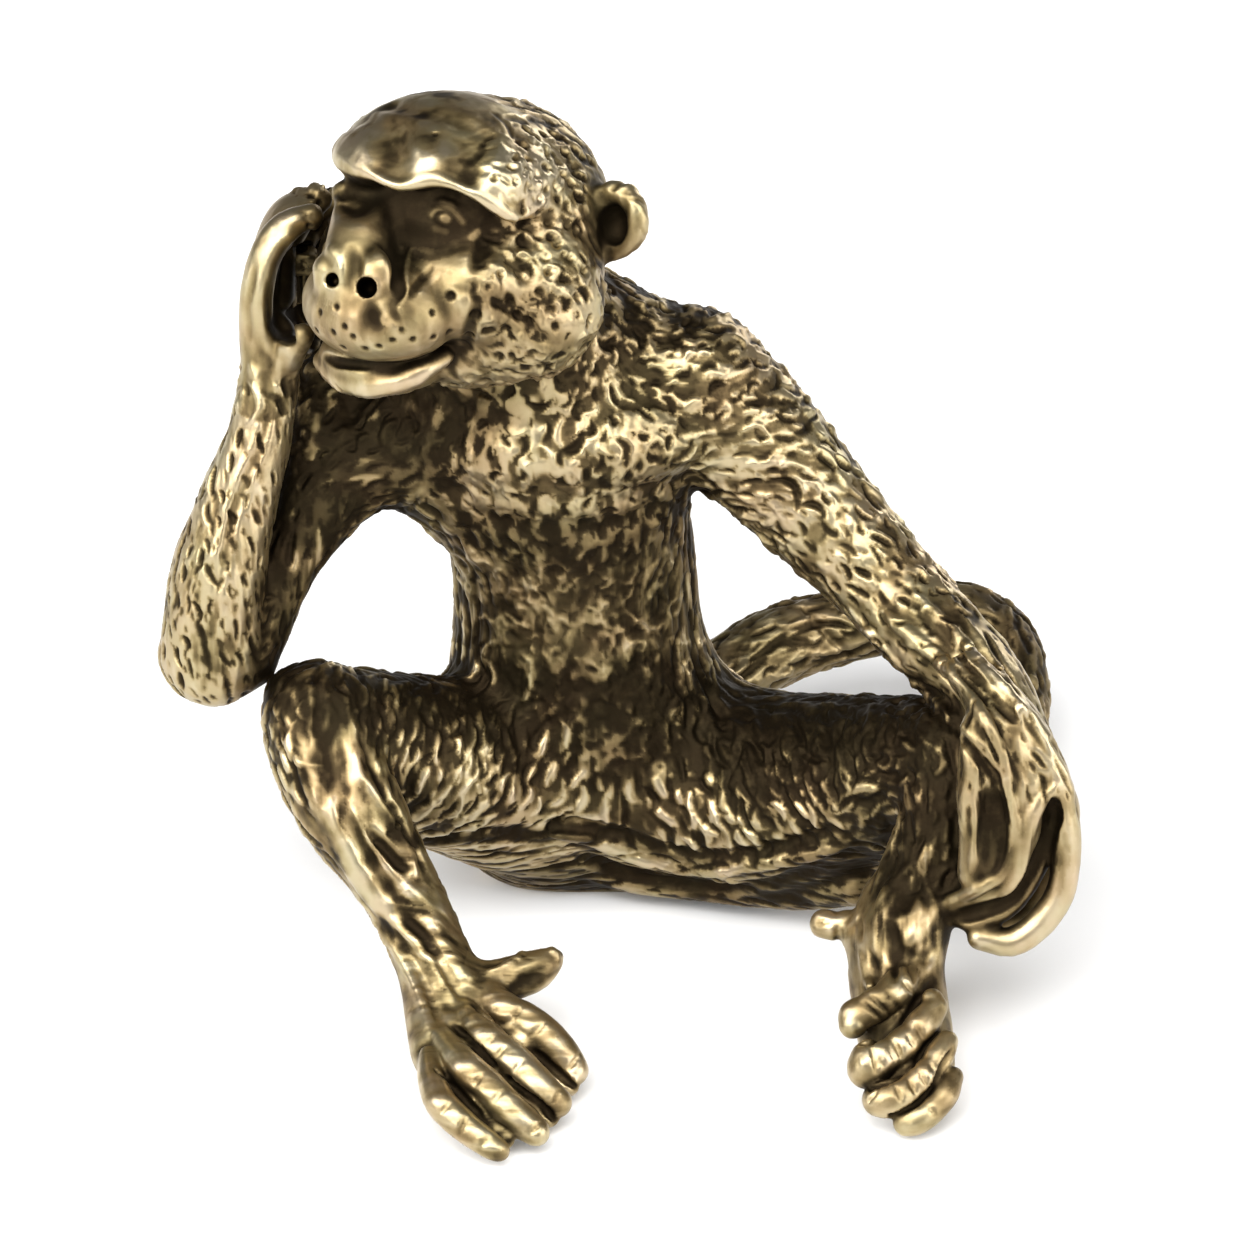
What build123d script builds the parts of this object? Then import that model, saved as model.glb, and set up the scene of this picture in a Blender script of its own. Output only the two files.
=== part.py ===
"""Seated monkey figurine, antiqued solid brass, about 40 mm tall.

The figure sits on its haunches with both knees raised and spread. The right
elbow rests on the right knee and the cheek leans into the right palm. The left
arm hangs over the left knee, its fingers hooked round the shin. Both feet have
hand-like toes with a spread big toe, and the tail sweeps round behind the left hip.

It is built as seven solid castings, spigot-and-socket jointed into the torso at
neck, shoulders, hips and tail root, and touching each other at the palm and
cheek, the elbow and knee, and the left hand and shin.

Units mm. +Z up, the figure faces -Y, its own left side is +X. The origin is
the centre of the footprint at the plane it rests on (z = 0).
"""
from build123d import *
import math
import os

# ---- driving dimensions (mm) ------------------------------------------------
SHIFT_X, SHIFT_Y = -0.24, 5.26   # moves the modelling origin to the footprint centre
SPIGOT_R = 1.15                   # cast-on spigot of each limb
SPIGOT_L = 2.6                    # its length inside the torso
BRAZE_GAP = 0.05                  # gap left round a spigot for the braze
TOE_R = 0.78

# torso sections: height, centre x, centre y, half width, half depth
TORSO = [
    (0.0, 0.3, 0.0, 5.6, 3.2),
    (1.6, 0.2, 0.0, 7.3, 4.5),
    (4.6, 0.0, -0.3, 7.7, 5.1),
    (8.4, -0.9, -0.5, 6.1, 4.7),
    (12.0, -1.4, -0.5, 5.15, 4.1),
    (15.0, -1.6, -0.5, 4.95, 3.9),
    (18.0, -2.2, -0.9, 5.4, 4.5),
    (20.6, -2.7, -0.9, 6.0, 4.8),
    (23.0, -2.7, -0.3, 5.9, 4.4),
    (25.4, -3.4, -0.1, 4.9, 4.0),
    (27.6, -4.4, -0.5, 3.9, 3.7),
    (29.4, -5.2, -0.9, 3.3, 3.3),
]

# head axes: the face is turned 33 degrees to its own right and lifted 12 degrees
YAW, PITCH = math.radians(33), math.radians(12)
EYES = (-9.0, -6.3, 36.2)        # point midway between the eyes
FWD = (-math.sin(YAW) * math.cos(PITCH), -math.cos(YAW) * math.cos(PITCH), math.sin(PITCH))
LEFT = (math.cos(YAW), -math.sin(YAW), 0.0)
UP = (FWD[1] * LEFT[2] - FWD[2] * LEFT[1], FWD[2] * LEFT[0] - FWD[0] * LEFT[2], FWD[0] * LEFT[1] - FWD[1] * LEFT[0])


def H(forward, left, up):
    """A point in the head's own axes, measured from between the eyes."""
    return tuple(EYES[i] + forward * FWD[i] + left * LEFT[i] + up * UP[i] for i in range(3))


def capsule(p, q, rp, rq):
    """A tapered rod from p to q with round ends, as one revolved solid."""
    p, q = Vector(*p), Vector(*q)
    d = q - p
    length = d.length
    s = (rp - rq) / length
    c = math.sqrt(1 - s * s)
    a1 = math.asin(s)
    t1, t2 = (rp * c, rp * s), (rq * c, length + rq * s)
    m1 = (-math.pi / 2 + a1) / 2
    m2 = (math.pi / 2 + a1) / 2
    edges = [
        ThreePointArc((0, -rp), (rp * math.cos(m1), rp * math.sin(m1)), t1),
        Line(t1, t2),
        ThreePointArc(t2, (rq * math.cos(m2), length + rq * math.sin(m2)), (0, length + rq)),
        Line((0, length + rq), (0, -rp)),
    ]
    face = Plane.XZ * make_face(edges)
    solid = revolve(face, Axis.Z, 360)
    return Plane(origin=p, z_dir=d.normalized()).location * solid


def ball(p, r):
    return Pos(*p) * Sphere(r)


def chain(*points):
    """Tapered rods through ((x, y, z), r) points. Each rod starts a little thinner, so no two surfaces coincide."""
    out = []
    for i, ((p, rp), (q, rq)) in enumerate(zip(points, points[1:])):
        out.append(capsule(p, q, rp * (1.0 if i == 0 else 0.975), rq))
    return out


def join(solids):
    got = solids[0]
    for s in solids[1:]:
        got = got + s
    return got


def half_space(p, n, size=60):
    """A large block on the side of the plane that n points away from."""
    return Plane(origin=Vector(*p), z_dir=Vector(*n)).location * (Pos(0, 0, -size / 2) * Box(size, size, size))


def rod(plane, r, back, ahead):
    """A cylinder about a joint's axis, from back behind its plane to ahead in front of it."""
    p, n = plane
    return Plane(origin=Vector(*p), z_dir=Vector(*n)).location * (Pos(0, 0, (ahead - back) / 2) * Cylinder(r, back + ahead))


# ---- joint planes: point, direction out of the torso -------------------------
NECK = ((-4.9, -0.7, 27.6), (-0.22, -0.12, 0.97))
SHOULDER_R = ((-8.5, -1.3, 21.9), (-0.90, -0.20, -0.38))
SHOULDER_L = ((4.0, 0.2, 22.9), (0.90, -0.10, -0.42))
HIP_R = ((-4.4, -1.9, 5.2), (-0.76, -0.52, 0.38))
HIP_L = ((4.8, -1.7, 5.0), (0.84, -0.48, 0.22))
TAIL_ROOT = ((1.7, 4.3, 3.3), (0.42, 0.90, 0.05))


def limb(solids, plane, spigot_r=SPIGOT_R):
    """The casting beyond its joint plane, with its spigot pointing back into the torso."""
    body = join(solids) - half_space(*plane)
    if isinstance(body, ShapeList):
        body = max(body, key=lambda s: s.volume)
    return body + rod(plane, spigot_r, SPIGOT_L, 0.6)


# ---- head --------------------------------------------------------------------
head = limb(
    [
        capsule((-4.7, -0.6, 26.8), H(-5.6, 0, -2.4), 3.9, 4.6),               # neck
        capsule(H(-6.6, 0.5, -1.75), H(-5.2, 0.3, -1.75), 5.0, 4.95),                # skull
        capsule(H(-3.1, -1.5, 0.25), H(-3.0, 1.6, 0.1), 3.4, 3.45),            # forehead
        capsule(H(-4.1, -3.1, -4.5), H(-4.0, 3.2, -4.6), 3.25, 3.3),           # furry jaw ruff
        capsule(H(-1.3, -2.3, -3.0), H(-1.35, 2.3, -3.1), 2.5, 2.55),          # cheeks
        capsule(H(0.25, -0.9, -4.6), H(0.2, 0.9, -4.65), 2.85, 2.9),           # muzzle
        capsule(H(0.4, -1.4, -6.9), H(0.3, 0.7, -6.95), 1.3, 1.35),            # chin
        *chain((H(-1.7, -3.4, 1.2), 1.3), (H(-0.35, -1.4, 1.85), 1.05), (H(-0.35, 1.4, 1.85), 1.1), (H(-1.8, 3.6, 1.0), 1.3)),  # brow
        capsule(H(-7.6, 4.6, -1.4), H(-8.2, 5.5, -0.8), 1.35, 1.45),            # left ear
        capsule(H(-7.6, -4.0, -1.4), H(-8.2, -5.1, -0.8), 1.35, 1.45),          # right ear
    ],
    NECK,
    1.3,
)
for side in (-1, 1):
    head -= ball(H(0.35, 2.25 * side, -0.2), 1.05)                              # eye socket
    head += ball(H(-0.85, 2.25 * side, -0.25), 0.9)                             # eyeball
    head -= ball(H(-7.5, 6.45 * side + 0.2, -0.6), 0.9)                         # ear hollow
    head -= capsule(H(3.2, 0.72 * side, -2.9), H(1.9, 0.62 * side, -3.1), 0.32, 0.26)  # nostril
for piece in chain((H(1.9, -2.9, -5.75), 0.24), (H(3.05, 0.0, -6.35), 0.28), (H(1.9, 2.9, -5.75), 0.24)):
    head -= piece                                                               # mouth line

# ---- legs: foot bones and toes meet at the knuckles ---------------------------
right_leg = limb(
    chain(((-3.2, -1.1, 4.5), 4.25), ((-7.6, -4.4, 7.7), 3.5), ((-12.37, -7.6, 11.8), 2.3))
    + chain(((-12.5, -7.7, 12.0), 2.2), ((-10.66, -10.2, 9.4), 1.85), ((-8.52, -12.2, 6.0), 1.45), ((-7.41, -13.6, 3.3), 1.3), ((-6.2, -16.4, 2.5), 1.7))
    + [capsule((-7.6, -12.3, 1.7), (-6.9, -18.6, 1.9), 1.4, 1.3)],
    HIP_R,
)
for p, q in (
    ((-4.76, -15.83, 2.7), (-1.9, -17.84, 1.4)),
    ((-5.84, -17.34, 2.6), (-2.5, -19.84, 0.95)),
    ((-6.62, -18.8, 2.2), (-3.4, -22.11, 0.7)),
    ((-7.3, -19.9, 1.5), (-4.8, -22.9, 0.68)),
):
    right_leg += capsule((-6.3, -15.6, 2.6), p, 1.1, 0.85)
    right_leg += capsule(p, q, TOE_R + 0.03, TOE_R - 0.03)
right_leg += capsule((-5.6, -14.6, 3.3), (-2.84, -14.7, 4.1), 0.8, 0.62)          # big toe

left_leg = limb(
    chain(((3.3, -1.2, 4.8), 4.45), ((6.7, -3.0, 5.0), 4.35), ((9.4, -4.7, 6.6), 3.9), ((14.4, -9.0, 10.9), 2.35))
    + chain(((14.5, -9.1, 11.0), 2.2), ((13.3, -11.6, 7.6), 1.65), ((12.3, -14.0, 4.6), 1.3), ((12.4, -16.2, 3.5), 1.45))
    + [capsule((12.7, -13.2, 2.9), (13.0, -17.4, 2.6), 1.3, 1.4), capsule((11.3, -11.6, 1.9), (12.6, -14.9, 2.6), 1.4, 1.35)],
    HIP_L,
)
for p, q in (
    ((12.0, -16.6, 4.2), (9.94, -17.4, 3.1)),
    ((12.93, -17.9, 3.5), (10.73, -19.1, 2.2)),
    ((13.41, -19.2, 2.5), (11.2, -20.4, 1.3)),
    ((13.5, -20.3, 1.5), (12.1, -21.2, 0.7)),
):
    left_leg += capsule((12.8, -16.2, 3.0), p, 1.1, 0.85)
    left_leg += capsule(p, q, TOE_R + 0.03, TOE_R - 0.03)
left_leg += capsule((12.0, -14.6, 4.3), (8.99, -13.9, 4.3), 0.8, 0.6)             # big toe

# ---- right arm: elbow on the knee, palm against the cheek ---------------------
right_arm = limb(
    chain(((-9.0, -1.4, 21.6), 2.7), ((-11.2, -2.2, 20.9), 2.0), ((-13.3, -3.2, 18.3), 1.65), ((-14.4, -3.9, 16.5), 1.6), ((-15.95, -5.2, 13.95), 1.95))
    + chain(((-17.0, -6.2, 14.17), 2.12), ((-16.5, -5.6, 18.4), 1.75), ((-15.3, -4.6, 22.2), 1.4), ((-14.4, -3.2, 26.0), 1.1), ((-14.3, -1.9, 28.6), 1.15)),
    SHOULDER_R,
)
for p, q, s in (
    ((-14.4, -2.2, 29.4), (-14.1, -1.6, 31.0), (-13.0, -1.2, 32.2)),
    ((-14.2, -1.0, 29.6), (-13.6, 0.0, 31.3), (-12.6, 0.6, 32.3)),
    ((-13.9, -0.2, 29.3), (-12.9, 1.2, 30.7), (-11.9, 2.0, 31.4)),
    ((-13.5, 0.3, 28.6), (-12.3, 1.7, 29.6), (-11.4, 2.5, 30.2)),
):
    right_arm += capsule((-14.3, -1.7, 28.1), p, 1.0, 0.78)
    for piece in chain((p, 0.76), (q, 0.70), (s, 0.64)):
        right_arm += piece
for piece in chain(((-14.3, -2.4, 27.4), 0.9), ((-13.6, -3.9, 28.5), 0.7), ((-12.9, -4.9, 29.1), 0.6)):   # thumb along the jaw
    right_arm += piece

# ---- left arm: forearm over the knee, fingers hooked round the shin -----------
left_arm = limb(
    chain(((3.8, 0.2, 23.15), 3.05), ((5.6, -0.3, 20.8), 2.65), ((8.2, -1.4, 18.15), 2.2), ((11.8, -3.6, 15.1), 2.0), ((15.2, -7.6, 13.8), 1.6), ((17.1, -10.8, 11.9), 1.35), ((17.8, -11.9, 10.4), 1.35)),
    SHOULDER_L,
)
for pts in (
    (((18.4, -12.3, 9.6), 0.85), ((18.8, -12.9, 7.7), 0.80), ((17.4, -13.6, 5.3), 0.76), ((15.0, -14.3, 5.2), 0.66)),
    (((17.6, -12.9, 9.7), 0.80), ((17.3, -13.8, 7.9), 0.76), ((16.2, -14.4, 6.5), 0.72), ((14.7, -14.6, 6.6), 0.64)),
    (((18.4, -11.4, 9.2), 0.80), ((18.7, -11.6, 7.0), 0.76), ((17.4, -12.4, 4.6), 0.72), ((15.5, -13.2, 4.2), 0.62)),
    (((18.1, -10.6, 9.2), 0.76), ((18.3, -10.4, 7.2), 0.72), ((17.4, -10.8, 5.2), 0.66), ((16.0, -11.4, 4.6), 0.58)),
    (((17.0, -12.4, 10.8), 0.76), ((16.2, -13.7, 9.8), 0.66), ((15.4, -14.3, 8.6), 0.58)),
):
    left_arm += capsule((17.5, -11.5, 10.9), pts[0][0], 1.05, 0.82)
    for piece in chain(*pts):
        left_arm += piece

# ---- tail --------------------------------------------------------------------
tail = limb(
    chain(((1.5, 4.0, 3.3), 2.1), ((3.7, 7.0, 3.9), 1.75), ((6.6, 9.5, 4.6), 1.62), ((10.1, 11.0, 4.9), 1.57), ((13.3, 11.6, 4.9), 1.53), ((15.7, 10.6, 4.6), 1.48), ((16.5, 8.0, 3.7), 1.38), ((16.6, 4.9, 2.3), 1.25), ((16.2, 1.9, 1.1), 1.13)),
    TAIL_ROOT,
    1.0,
)

# ---- torso -------------------------------------------------------------------
torso = loft([Pos(x, y, z) * Ellipse(a, b).face() for z, x, y, a, b in TORSO])
torso = join(
    [torso]
    + [
        capsule((-7.5, -1.3, 21.9), (2.7, 0.3, 23.1), 2.5, 2.95),           # shoulder girdle
        capsule((-8.1, -1.3, 20.6), (-5.4, -1.0, 18.8), 2.2, 2.6),          # right armpit
        capsule((-3.6, 0.6, 26.6), (2.6, 0.5, 23.6), 3.3, 2.6),             # left side of the neck
        capsule((0.4, 2.3, 3.2), (1.1, 3.5, 3.3), 2.7, 2.4),                # tail root
    ]
)
ground = half_space((0, 0, 0), (0, 0, 1))
torso -= half_space(NECK[0], (-NECK[1][0], -NECK[1][1], -NECK[1][2]))
torso -= rod(SHOULDER_R, 4.5, 0, 6)
torso -= rod(SHOULDER_L, 4.5, 0, 6)
torso -= rod(HIP_R, 4.6, 0, 6)
torso -= rod(HIP_L, 4.8, 0, 6)
torso -= rod(TAIL_ROOT, 3.0, 0, 6)
torso -= ground
right_leg -= ground
left_leg -= ground
tail -= ground

# each casting is fitted to the one it meets, so faces touch and nothing overlaps
right_arm -= right_leg
right_arm -= head
left_arm -= left_leg
for piece in (head, right_arm, left_arm, right_leg, left_leg, tail):
    torso -= piece
for plane, r in ((NECK, 1.3), (SHOULDER_R, SPIGOT_R), (SHOULDER_L, SPIGOT_R), (HIP_R, SPIGOT_R), (HIP_L, SPIGOT_R), (TAIL_ROOT, 1.0)):
    torso -= rod(plane, r + BRAZE_GAP, SPIGOT_L + BRAZE_GAP, 0.3)

parts = {
    "torso": torso,
    "head": head,
    "right_arm": right_arm,
    "left_arm": left_arm,
    "right_leg": right_leg,
    "left_leg": left_leg,
    "tail": tail,
}

os.makedirs("parts", exist_ok=True)
lows, highs = [], []
for name, shape in parts.items():
    solids = shape.solids()
    big = max(s.volume for s in solids)
    kept = [s for s in solids if s.volume > 0.02 * big]
    moved = [Pos(SHIFT_X, SHIFT_Y, 0) * s for s in kept]
    out = moved[0] if len(moved) == 1 else Compound(children=moved)
    out.label = name
    box = out.bounding_box()
    lows.append(tuple(box.min))
    highs.append(tuple(box.max))
    print(name, "solids", len(solids), "kept", len(kept), "valid", all(s.is_valid for s in kept), "volume", round(sum(s.volume for s in kept), 1))
    export_step(out, f"parts/{name}.step")
lo = [min(v[i] for v in lows) for i in range(3)]
hi = [max(v[i] for v in highs) for i in range(3)]
print("box", [round(v, 2) for v in lo], [round(v, 2) for v in hi], "centre", round((lo[0] + hi[0]) / 2, 3), round((lo[1] + hi[1]) / 2, 3))
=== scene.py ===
import math
import time

import bpy
import numpy as np
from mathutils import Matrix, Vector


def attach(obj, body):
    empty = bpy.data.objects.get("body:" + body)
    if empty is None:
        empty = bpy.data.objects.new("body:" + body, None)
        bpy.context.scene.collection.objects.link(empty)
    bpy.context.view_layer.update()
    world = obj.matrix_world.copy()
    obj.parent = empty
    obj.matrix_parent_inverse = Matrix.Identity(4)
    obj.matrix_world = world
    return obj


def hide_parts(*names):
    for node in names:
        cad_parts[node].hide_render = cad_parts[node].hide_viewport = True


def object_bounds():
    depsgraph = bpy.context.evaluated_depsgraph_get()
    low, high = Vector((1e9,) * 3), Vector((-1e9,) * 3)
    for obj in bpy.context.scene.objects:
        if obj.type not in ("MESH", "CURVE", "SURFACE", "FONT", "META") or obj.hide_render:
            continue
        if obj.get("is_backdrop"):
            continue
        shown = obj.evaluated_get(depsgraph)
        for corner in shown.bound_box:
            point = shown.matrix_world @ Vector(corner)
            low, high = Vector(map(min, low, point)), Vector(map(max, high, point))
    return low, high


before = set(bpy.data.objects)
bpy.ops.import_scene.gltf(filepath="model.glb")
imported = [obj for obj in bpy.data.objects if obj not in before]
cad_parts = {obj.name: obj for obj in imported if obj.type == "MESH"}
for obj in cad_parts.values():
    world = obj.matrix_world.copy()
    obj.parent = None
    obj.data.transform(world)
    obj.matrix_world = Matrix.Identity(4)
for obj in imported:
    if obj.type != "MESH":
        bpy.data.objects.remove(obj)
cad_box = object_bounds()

# Everything below is sculpted in millimetres in the CAD's modelling axes, then
# moved by SHIFT and scaled to metres.
SHIFT = np.array([-0.24, 5.26, 0.0])
CELL = 0.1          # voxel size of the sculpt, mm
T0 = time.time()
F = np.float32


def log(*words):
    print("[%6.1f s]" % (time.time() - T0), *words, flush=True)


# ---------------------------------------------------------------- view helpers
# The figure's features are laid out on the plane of the main view: elevation 32
# degrees, K units per mm, x to the right and y down.
K = 31.7
SE, CE = math.sin(math.radians(32)), math.cos(math.radians(32))


def view_xy(p):
    p = np.asarray(p, dtype=np.float64)
    return 690 + K * p[..., 0], 1480 - K * (p[..., 2] * CE + (p[..., 1] + 22.7) * SE)


def view_depth(p):
    """Nearness to the viewer along the line of sight."""
    return p[..., 2] * SE - p[..., 1] * CE


def at(x, y, depth_y):
    return np.array([(x - 690) / K, depth_y, ((1480 - y) / K - (depth_y + 22.7) * SE) / CE])


def atz(x, y, z):
    return np.array([(x - 690) / K, ((1480 - y) / K - z * CE) / SE - 22.7, z])


def foot5(*p):
    return [(196 + .35 * x, 1058.4 + .35 * y) for x, y in p]


def foot6(*p):
    return [(862.4 + .35 * x, 1058.4 + .35 * y) for x, y in p]


def laid(f, *rows):
    """Points of the main view at given heights, with radii, as a limb's points."""
    return [(atz(*f((x, y))[0], z), r) for x, y, z, r in rows]


# head axes: forward, the monkey's left, up, from the point between the eyes
yaw, pitch, roll = math.radians(33), math.radians(12), math.radians(8)
HF = np.array([-math.sin(yaw) * math.cos(pitch), -math.cos(yaw) * math.cos(pitch), math.sin(pitch)])
_l = np.array([math.cos(yaw), -math.sin(yaw), 0.0])
_u = np.cross(HF, _l)
HL = _l * math.cos(roll) + _u * math.sin(roll)
HU = _u * math.cos(roll) - _l * math.sin(roll)
EYE = np.array([-9.0, -6.3, 36.2])


def H(a, d, b):
    return EYE + a * HF + d * HL + b * HU


def _v2(v):
    return np.array([K * v[0], -K * (v[2] * CE + v[1] * SE)])


_E2 = np.array(view_xy(EYE))
_M2 = np.array([_v2(HL), _v2(HU)]).T


def HI(x, y, a):
    """The point seen at x, y in the main view that lies a mm forward of the eyes."""
    d, b = np.linalg.solve(_M2, np.array([x, y]) - _E2 - a * _v2(HF))
    return H(a, d, b)


HEAD_R = np.array([HF, HL, HU])

# -------------------------------------------------------------- distance fields
def rc(P, a, b, ra, rb):
    """Signed distance to a round cone."""
    a = np.asarray(a, F); b = np.asarray(b, F)
    ba = b - a
    L = F(np.sqrt((ba * ba).sum()))
    n = ba / L
    pa = P - a
    y = pa @ n
    x2 = np.einsum("ij,ij->i", pa, pa) - y * y
    x = np.sqrt(np.maximum(x2, 0))
    s = F((ra - rb) / L)
    c = F(math.sqrt(max(1e-6, 1 - s * s)))
    t = y * c - x * s
    cone = x * c + y * s - F(ra)
    yl = y - L
    d = np.where(t < 0, np.sqrt(x * x + y * y) - F(ra), np.where(t > L * c, np.sqrt(x * x + yl * yl) - F(rb), cone))
    return d.astype(F, copy=False)


def ell(P, c, r, R=None):
    """Signed distance, near enough, to an ellipsoid with its axes along the rows of R."""
    q = P - np.asarray(c, F)
    if R is not None:
        q = q @ np.asarray(R, F).T
    r = np.asarray(r, F)
    k0 = np.sqrt(((q / r) ** 2).sum(1)) + F(1e-6)
    k1 = np.sqrt(((q / (r * r)) ** 2).sum(1)) + F(1e-6)
    return (k0 * (k0 - 1) / k1).astype(F, copy=False)


def smin(a, b, k):
    if k <= 0:
        return np.minimum(a, b)
    h = np.maximum(F(k) - np.abs(a - b), 0) / F(k)
    return np.minimum(a, b) - h * h * F(k * 0.25)


def smax(a, b, k):
    return -smin(-a, -b, k)


# torso sections: height, centre x, centre y, half width, half depth
TORSO = np.array([
    (-1.5, 0.3, 0.8, 5.6, 2.6), (0.0, 0.3, 0.7, 6.2, 3.2), (1.6, 0.2, 0.4, 7.2, 4.0), (4.6, 0.0, -0.3, 7.6, 5.1),
    (8.4, -1.0, -0.5, 6.2, 4.6), (12.0, -1.6, -0.5, 5.3, 4.0), (15.0, -1.8, -0.5, 5.15, 3.8), (18.0, -2.1, -0.7, 5.2, 4.0),
    (20.6, -2.6, -0.7, 5.9, 4.4), (23.0, -2.7, -0.3, 5.9, 4.4), (25.4, -3.4, -0.1, 4.9, 4.0), (27.6, -4.4, -0.5, 3.9, 3.7),
    (29.4, -5.2, -0.9, 3.3, 3.3), (31.0, -5.6, -1.2, 3.0, 3.0)])
_tz = np.arange(TORSO[0, 0], TORSO[-1, 0] + 1e-6, 0.1)


def _catmull(zs, ys, z):
    m = np.gradient(ys, zs)
    i = np.clip(np.searchsorted(zs, z) - 1, 0, len(zs) - 2)
    h = zs[i + 1] - zs[i]
    t = (z - zs[i]) / h
    return (2 * t**3 - 3 * t**2 + 1) * ys[i] + (t**3 - 2 * t**2 + t) * h * m[i] + (-2 * t**3 + 3 * t**2) * ys[i + 1] + (t**3 - t**2) * h * m[i + 1]


_tt = [_catmull(TORSO[:, 0], TORSO[:, j], _tz).astype(F) for j in (1, 2, 3, 4)]


def trunk(P):
    z = np.clip(P[:, 2], _tz[0], _tz[-1])
    cx, cy, a, b = (np.interp(z, _tz, v).astype(F) for v in _tt)
    x = P[:, 0] - cx
    y = P[:, 1] - cy
    q = np.sqrt((x / a) ** 2 + (y / b) ** 2) + F(1e-4)
    d = (1 - 1 / q) * np.sqrt(x * x + y * y)
    d = np.where(q < 0.3, -F(2.0), d)
    return np.maximum(d, P[:, 2] - F(30.5)).astype(F)


# --------------------------------------------------------------- the primitives
# A group is made of chains, and a chain of short primitives that meet end to end.
GROUPS = {}          # group: how softly it joins what is already there
CHAINS = []          # (group, part, blend radius)
PRIMS = []           # (chain, function, arguments, axis)


def add(group, part, fn, *args, k=0.5, axis=None, cut=None):
    CHAINS.append((group, part, k, cut))
    PRIMS.append((len(CHAINS) - 1, fn, args, None if axis is None else np.asarray(axis, float) / np.linalg.norm(axis)))


def bend(pts, step=0.9):
    """Points and radii along a smooth curve through the given ones."""
    p = np.array([[*q, r] for q, r in pts], float)
    p = np.vstack([2 * p[0] - p[1], p, 2 * p[-1] - p[-2]])
    out = []
    for i in range(1, len(p) - 2):
        n = max(2, int(math.ceil(np.linalg.norm(p[i + 1, :3] - p[i, :3]) / step)))
        for t in np.arange(n) / n:
            out.append(0.5 * (2 * p[i] + (p[i + 1] - p[i - 1]) * t + (2 * p[i - 1] - 5 * p[i] + 4 * p[i + 1] - p[i + 2]) * t * t
                              + (3 * p[i] - p[i - 1] - 3 * p[i + 1] + p[i + 2]) * t ** 3))
    out.append(p[-2])
    return np.array(out)


def limb(group, part, pts, k=0.5, step=0.9):
    CHAINS.append((group, part, k, None))
    p = bend(pts, step)
    for u, v in zip(p, p[1:]):
        PRIMS.append((len(CHAINS) - 1, rc, (u[:3], v[:3], u[3], v[3]), (v[:3] - u[:3]) / np.linalg.norm(v[:3] - u[:3])))


# trunk, upper arms and thighs flow into each other
GROUPS["core"] = 0.0
add("core", "torso", trunk, k=0.8, axis=(0.0, -0.1, -1.0))
add("core", "torso", ell, (-2.4, -2.0, 22.7), (6.2, 3.5, 2.7), k=0.6, axis=(0.1, -0.2, -1.0))       # chest
limb("core", "torso", [((-7.5, -1.3, 21.9), 2.5), ((-2.5, -.5, 22.3), 2.7), ((2.7, 0.3, 23.1), 2.95)], k=1.2)
limb("core", "torso", [((-8.1, -1.3, 20.6), 2.1), ((-5.4, -1.0, 18.8), 2.6)], k=1.2)
limb("core", "torso", [((-3.6, 0.6, 26.6), 3.3), ((2.6, 0.5, 23.6), 2.6)], k=1.2)
limb("core", "torso", [((-6.2, -0.4, 25.6), 2.7), ((-8.2, -1.1, 23.0), 2.4)], k=1.0)
limb("core", "torso", [((-3.4, -0.5, 24.5), 4.0), ((-5.0, -1.0, 28.6), 3.9)], k=1.0)
limb("core", "torso", [((-3.4, 0.2, 2.9), 3.7), ((3.6, 0.1, 2.9), 3.65)], k=0.8)
limb("core", "torso", [((0.4, 2.3, 3.2), 2.7), ((1.3, 3.7, 3.3), 2.3)], k=1.0)
limb("core", "right_arm", [((-8.2, -1.2, 22.1), 2.7), ((-11.2, -2.2, 20.7), 2.05), ((-13.3, -3.2, 18.3), 1.65), ((-14.6, -4.1, 16.3), 1.65), ((-16.0, -5.2, 14.1), 2.0)], k=0.9)
limb("core", "right_arm", [(at(352, 470, 0.0), 1.9), (at(306, 470, -0.2), 1.75), (at(294, 520, -1.4), 1.55), (at(270, 590, -2.4), 1.3), (at(258, 660, -3.2), 1.1)], k=0.8)
limb("core", "right_arm", [(at(352, 470, 1.0), 1.8), (at(298, 428, 1.8), 1.3)], k=0.8)
limb("core", "left_arm", [((3.2, 0.3, 23.5), 3.1), ((5.7, -0.3, 21.1), 2.95), ((8.3, -1.4, 18.4), 2.5), ((11.8, -3.5, 15.4), 2.1), ((13.6, -5.5, 14.6), 1.9)], k=0.9)
limb("core", "right_leg", [((-2.8, -0.8, 4.3), 4.2), ((-7.6, -4.4, 7.7), 3.55), ((-12.3, -7.6, 11.75), 2.3)], k=1.2)
limb("core", "left_leg", [((2.8, -0.8, 4.6), 4.4), ((6.7, -3.0, 5.2), 4.3), ((9.8, -5.0, 7.0), 3.7), ((14.3, -8.9, 10.85), 2.3)], k=1.2)

limb("core", "left_leg", [(atz(600, 1090, 1.7), .9), (atz(700, 1106, 1.7), 1.05), (atz(800, 1118, 1.7), 1.1), (atz(880, 1124, 1.9), 1.15), (atz(950, 1130, 2.3), 1.1), (atz(1010, 1126, 3.2), 1.0)], k=0.3)

GROUPS["tail"] = 0.9
limb("tail", "tail", [((1.3, 3.7, 3.2), 2.1), ((3.7, 7.0, 3.9), 1.75), ((6.6, 9.5, 4.6), 1.62), ((10.1, 11.0, 4.9), 1.57), ((13.3, 11.7, 4.9), 1.6), ((15.9, 10.6, 4.7), 1.6), ((16.9, 8.0, 3.8), 1.5), ((16.8, 4.9, 2.3), 1.3), ((16.2, 1.9, 1.1), 1.12)], k=0.7)

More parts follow.
